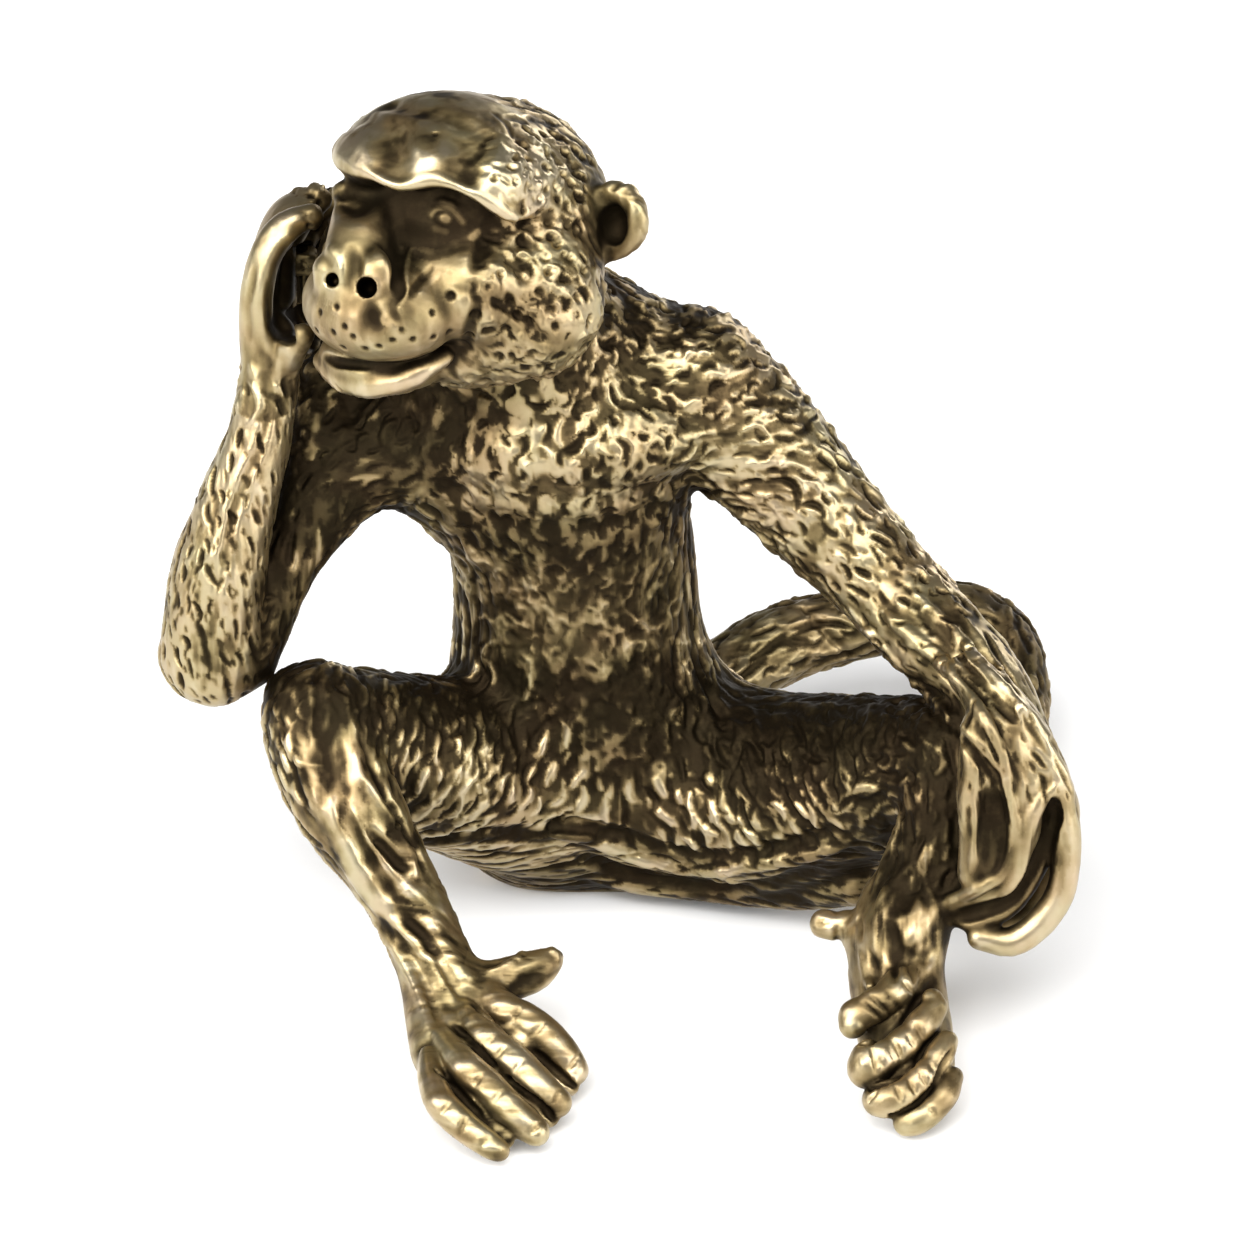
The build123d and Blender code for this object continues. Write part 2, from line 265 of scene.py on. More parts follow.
# right shin and foot
GROUPS["rshin"] = 0.5
limb("rshin", "right_leg", [((-12.55, -7.7, 12.0), 2.25), ((-12.0, -9.1, 10.4), 2.3), ((-11.0, -10.4, 8.9), 2.15), ((-9.9, -11.3, 7.4), 1.85), ((-8.8, -12.2, 5.8), 1.62), ((-7.7, -13.5, 4.2), 1.45), ((-6.7, -15.1, 3.1), 1.35)], k=0.5)
limb("rshin", "right_leg", [((-7.8, -11.9, 1.6), 1.15), ((-7.3, -15.0, 1.9), 1.3), ((-7.0, -17.6, 1.6), 1.2), ((-5.6, -19.2, 1.2), 1.0)], k=0.8)
limb("rshin", "right_leg", [((-6.6, -14.9, 2.7), 1.35), ((-5.0, -16.4, 2.1), 1.15), ((-3.8, -18.0, 1.35), .95)], k=0.6)
limb("rshin", "right_leg", laid(foot5, (660, 430, 4.2, 1.1), (684, 560, 3.4, 1.0), (706, 700, 2.7, .98), (730, 850, 2.05, .96), (780, 960, 1.6, .88)), k=0.9, step=0.6)
# the sole and the webs between the toes
for rows in (
    ((860, 640, 2.9, .8), (960, 720, 2.6, .76), (1060, 800, 2.15, .74), (1140, 870, 1.55, .72), (1200, 924, 1.1, .66), (1226, 950, .95, .56)),
    ((800, 740, 2.7, .8), (880, 810, 2.45, .76), (970, 900, 2.0, .74), (1060, 985, 1.45, .70), (1120, 1040, 1.0, .64), (1150, 1068, .85, .54)),
    ((730, 880, 2.3, .76), (800, 960, 1.95, .74), (870, 1040, 1.5, .70), (930, 1100, 1.05, .62), (985, 1150, .8, .52)),
):
    limb("rshin", "right_leg", laid(foot5, *rows), k=0.3, step=0.6)
GROUPS["rtoes"] = 0.10
for rows in (
    ((840, 560, 3.3, .40), (880, 600, 3.25, .60), (960, 655, 3.2, .76), (1010, 690, 3.0, .78), (1075, 722, 2.8, .80), (1130, 765, 2.5, .82), (1185, 820, 2.0, .82), (1228, 876, 1.45, .76), (1246, 902, 1.25, .68)),
    ((810, 640, 3.2, .36), (850, 690, 3.2, .56), (912, 765, 3.12, .74), (955, 810, 2.9, .76), (1010, 852, 2.62, .78), (1080, 922, 2.15, .78), (1150, 990, 1.6, .74), (1186, 1018, 1.3, .66)),
    ((736, 748, 2.95, .36), (768, 800, 2.95, .54), (832, 878, 2.82, .74), (880, 922, 2.6, .75), (932, 965, 2.35, .75), (1000, 1038, 1.85, .74), (1070, 1100, 1.3, .70), (1106, 1130, 1.05, .62)),
    ((700, 840, 2.7, .36), (712, 926, 2.45, .56), (746, 1012, 2.2, .66), (790, 1060, 1.95, .67), (840, 1106, 1.6, .67), (900, 1152, 1.25, .62), (950, 1186, .95, .56), (968, 1196, .85, .50)),
):
    limb("rtoes", "right_leg", laid(foot5, *rows), k=0.06, step=0.16)
for x, y, z, r in ((990, 676, 3.3, .52), (1075, 722, 2.95, .50), (918, 770, 3.28, .52), (1010, 856, 2.75, .48), (840, 884, 3.0, .50), (932, 968, 2.5, .46), (752, 1016, 2.35, .46)):
    add("rtoes", "right_leg", ell, atz(*foot5((x, y))[0], z), (r, r, r * .74), k=0.32)
GROUPS["rbig"] = 0.5
limb("rbig", "right_leg", [(atz(500, 1262, 3.2), 1.0), (atz(540, 1256, 3.3), .95), (atz(570, 1247, 3.5), .90), (atz(590, 1238, 3.7), .74), (atz(603, 1230, 3.8), .54)], k=0.3, step=0.5)

# left shin and foot
GROUPS["lshin"] = 0.5
limb("lshin", "left_leg", [((14.4, -9.0, 11.0), 2.2), ((13.9, -10.6, 9.2), 1.95), ((13.2, -12.0, 7.2), 1.65), ((12.6, -13.4, 5.3), 1.42), ((12.3, -14.8, 4.2), 1.4)], k=0.5)
limb("lshin", "left_leg", [((11.2, -11.8, 1.8), 1.5), ((11.9, -14.2, 2.4), 1.5), ((12.2, -15.6, 3.0), 1.4)], k=0.8)
limb("lshin", "left_leg", [((12.2, -15.0, 3.2), 1.35), ((12.3, -17.4, 2.3), 1.35), ((12.2, -18.8, 1.6), 1.1)], k=0.6)
limb("lshin", "left_leg", [(atz(1072, 1180, 5.6), 1.55), (atz(1064, 1215, 4.6), 1.65), (atz(1064, 1256, 3.5), 1.55), (atz(1080, 1316, 2.5), 1.65), (atz(1090, 1368, 1.75), 1.5), (atz(1088, 1400, 1.3), 1.15)], k=0.7, step=0.6)
limb("lshin", "left_leg", [(atz(1030, 1200, 4.2), 1.0), (atz(1036, 1240, 3.5), 1.2), (atz(1042, 1290, 2.8), 1.2), (atz(1050, 1340, 2.0), 1.2), (atz(1058, 1384, 1.4), 1.1)], k=0.7, step=0.6)
limb("lshin", "left_leg", [(atz(1080, 1086, 7.4), .9), (atz(1062, 1124, 6.5), .95), (atz(1040, 1160, 5.4), .95), (atz(1032, 1200, 4.4), .95)], k=0.8, step=0.6)
GROUPS["ltoes"] = 0.10
for rows in (
    ((640, 500, 4.5, .44), (604, 540, 4.5, .62), (568, 590, 4.4, .76), (526, 630, 4.25, .68), (488, 652, 4.05, .72), (450, 676, 3.8, .68), (414, 694, 3.6, .72), (404, 726, 3.35, .62)),
    ((716, 660, 4.0, .50), (690, 694, 3.8, .60), (655, 738, 3.55, .68), (626, 768, 3.35, .62), (590, 806, 3.1, .74), (548, 836, 2.9, .66), (508, 850, 2.8, .82), (468, 868, 2.65, .94), (456, 892, 2.45, .84)),
    ((756, 790, 3.1, .46), (726, 845, 2.8, .62), (700, 884, 2.6, .54), (668, 922, 2.35, .68), (628, 956, 2.1, .62), (580, 992, 1.85, .74), (532, 1008, 1.7, .80), (502, 1008, 1.6, .74)),
    ((780, 925, 2.0, .46), (754, 982, 1.7, .60), (722, 1024, 1.4, .60), (680, 1058, 1.15, .66), (636, 1082, .95, .68), (606, 1092, .82, .60)),
):
    limb("ltoes", "left_leg", laid(foot6, *rows), k=0.14, step=0.16)
add("ltoes", "left_leg", ell, atz(*foot6((702, 630))[0], 4.2), (.48, .48, .44), k=0.1)
GROUPS["lbig"] = 0.35
limb("lbig", "left_leg", [(atz(1044, 1214, 4.1), .95), (atz(1018, 1198, 4.3), .78), (atz(1000, 1190, 4.4), .60), (atz(978, 1184, 4.5), .60)], k=0.16, step=0.5)
add("lbig", "left_leg", ell, atz(966, 1181, 4.5), (.60, .58, .60), k=0.2)
add("lbig", "left_leg", ell, atz(996, 1176, 4.75), (.44, .45, .44), k=0.2)
add("lbig", "left_leg", ell, atz(1024, 1196, 4.9), (.46, .45, .46), k=0.2)

# right forearm and hand
GROUPS["rfore"] = 0.5
limb("rfore", "right_arm", [((-16.9, -6.1, 14.15), 2.25), ((-16.7, -5.8, 17.6), 2.0), ((-15.95, -5.1, 20.6), 1.7), ((-15.0, -4.3, 23.4), 1.4), ((-14.5, -3.4, 25.9), 1.2), ((-14.5, -2.9, 27.6), 1.2)], k=0.5)
def open_palm(P):
    return -ell(P, (-12.3, -1.3, 29.3), (1.9, 3.4, 3.5))


add("rfore", "right_arm", ell, (-13.2, -0.4, 29.2), (2.1, 3.1, 3.7), k=0.4, axis=(0, 0, 1), cut=open_palm)       # palm
GROUPS["rhand"] = 0.2
for pts in (
    [(at(228, 452, -2.9), .95), (at(216, 400, -3.1), .80), (at(216, 340, -3.1), .74), (at(229, 290, -2.7), .68), (at(254, 256, -2.2), .62), (at(286, 243, -1.8), .52)],
    [((-14.3, -1.6, 29.0), .85), ((-14.1, -0.9, 30.5), .78), ((-13.4, -0.2, 31.7), .70), ((-12.5, 0.4, 32.4), .60)],
    [((-13.9, -0.4, 28.8), .85), ((-13.4, 0.5, 30.1), .76), ((-12.6, 1.4, 31.0), .68), ((-11.7, 2.1, 31.5), .58)],
    [((-13.5, 0.2, 28.2), .8), ((-12.7, 1.2, 29.2), .72), ((-11.9, 2.0, 29.9), .64), ((-11.2, 2.6, 30.3), .56)],
    [(at(244, 440, -3.4), .85), (at(262, 416, -4.1), .66), (at(276, 400, -4.7), .5)],
):
    limb("rhand", "right_arm", pts, k=0.18, step=0.5)

# left forearm and hand, hanging over the knee
GROUPS["lfore"] = 0.5
limb("lfore", "left_arm", [((12.4, -4.4, 14.9), 2.0), ((15.3, -7.7, 13.8), 1.75), ((16.7, -10.1, 12.2), 1.6), ((17.4, -11.4, 10.8), 1.6), ((17.6, -11.9, 9.8), 1.5)], k=0.6)
GROUPS["lhand"] = 0.9
limb("lhand", "left_arm", [(at(1156, 846, -10.2), .9), (at(1196, 896, -11.7), 1.3), (at(1222, 950, -12.5), 1.5), (at(1222, 1020, -12.9), 1.5), (at(1222, 1080, -13.2), 1.45), (at(1200, 1130, -13.6), 1.3), (at(1168, 1158, -14.0), 1.1)], k=0.4, step=0.5)
limb("lhand", "left_arm", [(at(1176, 920, -12.9), .95), (at(1168, 990, -13.4), .95), (at(1172, 1050, -13.9), .9), (at(1170, 1110, -14.2), .9)], k=0.6, step=0.5)
limb("lhand", "left_arm", [((18.2, -11.2, 9.6), 1.1), ((18.3, -11.2, 7.0), 1.0), ((17.3, -11.8, 4.9), .85), ((15.8, -12.6, 4.4), .72)], k=0.5, step=0.5)
limb("lhand", "left_arm", [((17.9, -10.4, 9.6), 1.0), ((17.9, -10.2, 7.4), .85), ((17.1, -10.6, 5.5), .74), ((16.0, -11.2, 4.9), .64)], k=0.4, step=0.5)
GROUPS["lband"] = 0.3
limb("lband", "left_arm", [(at(1222, 900, -12.6), .62), (at(1254, 950, -13.0), .70), (at(1278, 1010, -13.4), .66), (at(1286, 1070, -13.8), .62), (at(1281, 1130, -14.1), .62), (at(1254, 1176, -14.4), .64), (at(1214, 1204, -14.7), .62), (at(1172, 1198, -14.8), .52)], k=0.3, step=0.5)

# head: the face first, then the brow and skull over it
HC = H(-3.7, -0.1, -0.05)
HR = (5.0, 4.95, 3.8)


def ray_ell(x, y, c, r):
    """Where the line of sight through x, y first meets an ellipsoid on the head's axes."""
    o = at(x, y, -40.0)
    v = np.array([0, CE, -SE])
    q, w = HEAD_R @ (o - c) / r, HEAD_R @ v / r
    qa, qb, qc = w @ w, q @ w, q @ q - 1
    disc = qb * qb - qa * qc
    t = (-qb - math.sqrt(max(disc, 0.0))) / qa
    return o + v * t


RIM = [(304, 156), (318, 168), (345, 188), (380, 207), (403, 215), (420, 211), (444, 205), (473, 209), (502, 224), (525, 240), (548, 255), (571, 254), (594, 238)]
_rim3 = np.array([ray_ell(x, y, HC, HR) for x, y in RIM])
_rl = (_rim3 - EYE) @ HEAD_R.T
_o = np.argsort(_rl[:, 1])
RIM_D, RIM_B = _rl[_o, 1], _rl[_o, 2]


def above_brow(P):
    q = (P - EYE.astype(F))
    d, b = q @ HL.astype(F), q @ HU.astype(F)
    return (np.interp(d, RIM_D, RIM_B) - b).astype(F)


GROUPS["face"] = 0.5
add("face", "head", ell, H(-6.4, 0.4, -2.0), (5.1, 5.0, 4.9), HEAD_R, k=0.8)
add("face", "head", ell, H(-3.6, 0.0, -0.9), (3.6, 3.9, 3.3), HEAD_R, k=0.8)
add("face", "head", ell, H(-4.3, -3.2, -4.5), (3.5, 3.1, 3.5), HEAD_R, k=0.9)
add("face", "head", ell, H(-4.6, 3.2, -4.6), (3.4, 3.4, 3.6), HEAD_R, k=0.9)
add("face", "head", ell, H(-4.2, 0.5, -6.2), (3.2, 3.4, 2.6), HEAD_R, k=0.9)
add("face", "head", rc, H(-1.5, -2.3, -3.4), H(-1.5, 2.4, -3.5), 2.2, 2.25, k=0.7)
add("face", "head", ell, HI(383, 358, 0.2), (3.1, 3.5, 2.4), HEAD_R, k=0.3)
limb("face", "head", [(HI(362, 232, -.8), 1.35), (HI(356, 268, .55), 1.4), (HI(346, 302, 1.6), 1.35), (HI(340, 326, 1.95), 1.15)], k=0.6)
add("face", "head", rc, HI(312, 316, 2.35), HI(314, 328, 2.3), .70, .72, k=0.25)
add("face", "head", rc, HI(372, 316, 2.15), HI(370, 332, 2.3), .74, .80, k=0.25)
add("face", "head", ell, HI(384, 428, -1.2), (2.5, 2.8, 1.45), HEAD_R, k=0.3)
limb("face", "head", [(HI(302, 434, -.3), .42), (HI(324, 456, .35), .52), (HI(364, 466, .7), .60), (HI(406, 460, .5), .56), (HI(440, 444, -0.1), .48), (HI(464, 430, -.9), .38)], k=0.25, step=0.5)

CUTS = []           # (function, arguments, softness)
CUTS.append((ell, (HI(455, 243, .9), (1.6, 2.35, 1.15), HEAD_R), .45))
CUTS.append((ell, (HI(342, 212, 1.0), (1.6, 1.45, 1.1), HEAD_R), .4))
for x, y, r in ((315, 329, .30), (360, 339, .43)):
    CUTS.append((rc, (HI(x, y, 3.9), HI(x + 5, y + 2, 1.5), r, r * .85), .1))
_m = [(274, 414, 1.0), (294, 427, 1.4), (322, 437, 1.7), (372, 444, 1.9), (424, 438, 1.6), (458, 427, .8), (482, 414, 0.0)]
for p, q in zip(_m, _m[1:]):
    CUTS.append((rc, (HI(*p), HI(*q), .29, .29), .08))
    CUTS.append((rc, (HI(p[0], p[1], p[2] - .6), HI(q[0], q[1], q[2] - .6), .22, .22), .08))

GROUPS["late"] = 0.12        # after the cuts: eyes, brow and ears
add("late", "head", ell, HI(464, 246, -.86), (.56, .50, .42), HEAD_R, k=0.12)
limb("late", "head", [(HI(436, 240, -1.0), .20), (HI(452, 229, -.75), .26), (HI(474, 232, -.85), .24), (HI(492, 250, -1.3), .18)], k=0.12, step=0.4)
limb("late", "head", [(HI(438, 252, -1.1), .16), (HI(458, 262, -.85), .22), (HI(480, 262, -1.0), .20), (HI(496, 256, -1.4), .16)], k=0.12, step=0.4)
add("late", "head", ell, HI(332, 213, -.50), (.56, .54, .48), HEAD_R, k=0.1)
GROUPS["cap"] = 0.5
add("cap", "head", ell, HC, HR, HEAD_R, k=0.2, cut=above_brow)
GROUPS["ear"] = 0.5
_ear = [(666, 222), (686, 213), (704, 219), (716, 237), (717, 259), (708, 275), (690, 286), (666, 291)]
_earp = [HI(x, y, -7.6) for x, y in _ear]
_earr = [.54, .52, .50, .50, .50, .50, .50, .48]
_ec, _er = HI(688, 253, -8.1), (.55, 1.15, 1.35)
limb("ear", "head", list(zip(_earp, _earr)), k=0.3, step=0.5)
add("ear", "head", ell, _ec, _er, HEAD_R, k=0.3)


def mirror(p):
    a, d, b = HEAD_R @ (np.asarray(p) - EYE)
    return H(a, 0.3 - d, b)


limb("ear", "head", [(mirror(p), r) for p, r in zip(_earp, _earr)], k=0.3, step=0.5)
add("ear", "head", ell, mirror(_ec), _er, HEAD_R, k=0.3)
EARCUTS = [(ell, (HI(688, 256, -7.3), (.7, .66, .84), HEAD_R), .1), (ell, (mirror(HI(688, 256, -7.3)), (.7, .66, .84), HEAD_R), .1)]
log(len(PRIMS), "primitives")

# ------------------------------------------------- sparse evaluation on a grid
LO = np.array([-20.6, -24.6, -0.9]); HI_ = np.array([20.6, 14.4, 41.0])
B = 8
NB = np.ceil((HI_ - LO) / (CELL * B)).astype(int)
N = NB * B
R_BLOCK = 0.5 * B * CELL * math.sqrt(3)
bi = np.stack(np.meshgrid(*[np.arange(n) for n in NB], indexing="ij"), -1).reshape(-1, 3)
centres = (LO + (bi + 0.5) * B * CELL - CELL * 0.5).astype(F)
coarse = np.empty((len(PRIMS), len(centres)), F)
for i, (ch, fn, args, ax) in enumerate(PRIMS):
    coarse[i] = fn(centres, *args)
total = coarse.min(0)
active = np.where((total < R_BLOCK + 0.75) & (total > -R_BLOCK - 1.9))[0]
inside_far = total <= -R_BLOCK - 1.9
coarse = coarse[:, active]
log("blocks", len(centres), "active", len(active))
off = np.stack(np.meshgrid(*[np.arange(B)] * 3, indexing="ij"), -1).reshape(-1, 3)
P = (LO + (bi[active][:, None, :] * B + off[None]) * CELL).astype(F)          # (blocks, 512, 3)
BIG = F(9.0)
D = np.full(P.shape[:2], BIG, F)
ta = total[active]
WIDE = 2 * R_BLOCK


def unite(groups):
    for g in groups:
        kg = GROUPS[g]
        chains = [c for c, ch in enumerate(CHAINS) if ch[0] == g]
        gids = [i for i, p in enumerate(PRIMS) if CHAINS[p[0]][0] == g]
        gmin = coarse[gids].min(0)
        G = {}
        touched = np.zeros(len(active), bool)
        GD = np.full(D.shape, BIG, F)
        for c in chains:
            _, part, k, cut = CHAINS[c]
            ids = [i for i, p in enumerate(PRIMS) if p[0] == c]
            cmin = coarse[ids].min(0)
            ok = (cmin < ta + WIDE + k + kg) & (cmin < gmin + WIDE + k) & (cmin < R_BLOCK + 0.8 + k)
            sel = np.where(ok)[0]
            if not len(sel):
                continue
            C = np.full((len(sel), B ** 3), BIG, F)
            for i in ids:
                s2 = np.where(coarse[i][sel] < cmin[sel] + WIDE + 0.05)[0]
                if len(s2):
                    _, fn, args, ax = PRIMS[i]
                    C[s2] = np.minimum(C[s2], fn(P[sel[s2]].reshape(-1, 3), *args).reshape(-1, B ** 3))
            if cut is not None:
                C = smax(C, cut(P[sel].reshape(-1, 3)).reshape(-1, B ** 3), 0.3)
            touched[sel] = True
            GD[sel] = smin(GD[sel], C, k)
        s = np.where(touched)[0]
        D[s] = smin(D[s], GD[s], kg)
        log("  ", g, len(s))


def near(fn, args, reach):
    c = fn(centres[active], *args)
    return np.where(c < R_BLOCK + reach)[0]


def carve(cuts):
    for fn, args, k in cuts:
        s = near(fn, args, k + 0.3)
        d = fn(P[s].reshape(-1, 3), *args).reshape(-1, B ** 3)
        D[s] = smax(D[s], -d, k)


unite([g for g in GROUPS if g not in ("late", "cap", "ear")])
carve(CUTS)
unite(["late", "cap", "ear"])
carve(EARCUTS)
D = np.maximum(D, -P[:, :, 2] + F(0.02))                # the flat it sits on

grid = np.where(inside_far, -BIG, BIG).astype(F)
grid = np.repeat(np.repeat(np.repeat(grid.reshape(NB), B, 0), B, 1), B, 2)
gx = (bi[active][:, None, :] * B + off[None]).reshape(-1, 3)
grid[gx[:, 0], gx[:, 1], gx[:, 2]] = D.reshape(-1)
log("grid", grid.shape)


def corners(g, pts):
    q = (np.asarray(pts, F) - LO.astype(F)) * F(1 / CELL)
    i = np.floor(q)
    f = q - i
    i = i.astype(np.int64)
    for j in range(3):
        np.clip(i[:, j], 0, g.shape[j] - 2, out=i[:, j])
    sx, sy = g.shape[1] * g.shape[2], g.shape[2]
    base = i[:, 0] * sx + i[:, 1] * sy + i[:, 2]
    flat = g.ravel()
    c = [flat.take(base + dx * sx + dy * sy + dz) for dx in (0, 1) for dy in (0, 1) for dz in (0, 1)]
    return c, f[:, 0], f[:, 1], f[:, 2]


def sample(g, pts):
    """Trilinear sample of the grid at points in mm."""
    c, x, y, z = corners(g, pts)
    c = [c[2 * k] + (c[2 * k + 1] - c[2 * k]) * z for k in range(4)]
    c = [c[2 * k] + (c[2 * k + 1] - c[2 * k]) * y for k in range(2)]
    return c[0] + (c[1] - c[0]) * x


def slope(g, pts):
    """Value and unit gradient of the trilinear field."""
    c, x, y, z = corners(g, pts)
    cz = [c[2 * k] + (c[2 * k + 1] - c[2 * k]) * z for k in range(4)]
    dz = [c[2 * k + 1] - c[2 * k] for k in range(4)]
    cy = [cz[2 * k] + (cz[2 * k + 1] - cz[2 * k]) * y for k in range(2)]
    dy = [cz[2 * k + 1] - cz[2 * k] for k in range(2)]
    dzy = [dz[2 * k] + (dz[2 * k + 1] - dz[2 * k]) * y for k in range(2)]
    v = cy[0] + (cy[1] - cy[0]) * x
    gr = np.stack([cy[1] - cy[0], dy[0] + (dy[1] - dy[0]) * x, dzy[0] + (dzy[1] - dzy[0]) * x], 1)
    return v, gr / (np.linalg.norm(gr, axis=1, keepdims=True) + 1e-9)


def gradient(g, pts, e=None):
    e = e or CELL
    out = np.empty(pts.shape, F)
    for j in range(3):
        o = np.zeros(3); o[j] = e
        out[:, j] = sample(g, pts + o) - sample(g, pts - o)
    return out / (np.linalg.norm(out, axis=1, keepdims=True) + 1e-9)


VIEW = np.array([0.0, CE, -SE])        # line of sight


def front(xy):
    """Where lines of sight through points of the main view first meet the surface, and its normals."""
    xy = np.asarray(xy, float)
    o = np.array([at(x, y, -24.0) for x, y in xy])
    n = int(44 / 0.25)
    t = np.arange(n) * 0.25
    pts = o[:, None, :] + VIEW * t[None, :, None]
    i = np.round((pts - LO) / CELL).astype(int)
    ok = ((i >= 0) & (i < np.array(grid.shape))).all(2)
    i = np.clip(i, 0, np.array(grid.shape) - 1)
    v = np.where(ok, grid[i[..., 0], i[..., 1], i[..., 2]], 9.0)
    hit = v < 0.05
    first = hit.argmax(1)
    good = hit.any(1)
    t0 = t[first] - 0.3
    lo, hi = t0, t0 + 0.6
    for _ in range(14):
        m = (lo + hi) / 2
        s = sample(grid, o + VIEW * m[:, None])
        inside = s < 0
        hi = np.where(inside, m, hi)
        lo = np.where(inside, lo, m)
    p = o + VIEW * hi[:, None]
    return p, gradient(grid, p, 0.15), good


def curve2(pts, step):
    """Even points along a smooth curve in the main view."""
    p = np.asarray(pts, float)
    if len(p) > 2:
        q = np.vstack([2 * p[0] - p[1], p, 2 * p[-1] - p[-2]])
        out = []
        for i in range(1, len(q) - 2):
            for t in np.linspace(0, 1, 12, endpoint=False):
                out.append(0.5 * (2 * q[i] + (q[i + 1] - q[i - 1]) * t + (2 * q[i - 1] - 5 * q[i] + 4 * q[i + 1] - q[i + 2]) * t * t
                                  + (3 * q[i] - q[i - 1] - 3 * q[i + 1] + q[i + 2]) * t ** 3))
        p = np.vstack([out, p[-1:]])
    L = np.r_[0, np.cumsum(np.linalg.norm(np.diff(p, axis=0), axis=1))]
    n = max(2, int(round(L[-1] / step)) + 1)
    u = np.linspace(0, L[-1], n)
    return np.stack([np.interp(u, L, p[:, 0]), np.interp(u, L, p[:, 1])], 1)


def stroke_tubes(strokes):
    """Turn strokes drawn in the main view into chains of round cones near the surface."""
    out = []
    for kind, pts, r, amount, k in strokes:
        xy = curve2(pts, 7.0)
        p, n, ok = front(xy)
        if ok.sum() < 2:
            continue
        u = np.linspace(0, 1, len(xy))
        taper = np.clip(np.minimum(u, 1 - u) * len(xy) / 2.5, 0, 1) ** 0.7
        rr = r * (0.45 + 0.55 * taper)
        aa = amount * (0.3 + 0.7 * taper)
        n[:, 0] = np.convolve(np.pad(n[:, 0], 1, "edge"), [.25, .5, .25], "valid")
        n[:, 1] = np.convolve(np.pad(n[:, 1], 1, "edge"), [.25, .5, .25], "valid")
        n[:, 2] = np.convolve(np.pad(n[:, 2], 1, "edge"), [.25, .5, .25], "valid")
        c = p + n * ((rr - aa) if kind == "G" else (aa - rr))[:, None]
        if len(c) > 4:
            c[1:-1] = 0.25 * c[:-2] + 0.5 * c[1:-1] + 0.25 * c[2:]
        seg = [(c[i], c[i + 1], rr[i], rr[i + 1]) for i in range(len(c) - 1)
               if ok[i] and ok[i + 1] and 1e-3 < np.linalg.norm(c[i + 1] - c[i]) < 0.95]
        out.append((kind, seg, k))
    return out


def apply_tubes(tubes):
    ca = centres[active]
    for kind, seg, k in tubes:
        if not seg:
            continue
        mids = np.array([(a + b) / 2 for a, b, _, _ in seg])
        rad = max(max(ra, rb) for _, _, ra, rb in seg) + 0.5
        lo, hi = mids.min(0) - rad - R_BLOCK - 1.0, mids.max(0) + rad + R_BLOCK + 1.0
        cand = np.where(((ca > lo) & (ca < hi)).all(1))[0]
        if not len(cand):
            continue
        cs = np.stack([rc(ca[cand], *sg) for sg in seg])
        sel = cs.min(0) < R_BLOCK + k + 0.25
        cand, cs = cand[sel], cs[:, sel]
        if not len(cand):
            continue
        C = np.full((len(cand), B ** 3), BIG, F)
        cm = cs.min(0)
        for j, sg in enumerate(seg):
            s2 = np.where(cs[j] < cm + WIDE + 0.05)[0]
            if len(s2):
                C[s2] = np.minimum(C[s2], rc(P[cand[s2]].reshape(-1, 3), *sg).reshape(-1, B ** 3))
        D[cand] = smax(D[cand], -C, k) if kind == "G" else smin(D[cand], C, k)


def hand7(*p):
    return [(787.9 + .375 * x, 646.8 + .375 * y) for x, y in p]


def face1(*p):
    return [(.45 * x, .45 * y) for x, y in p]


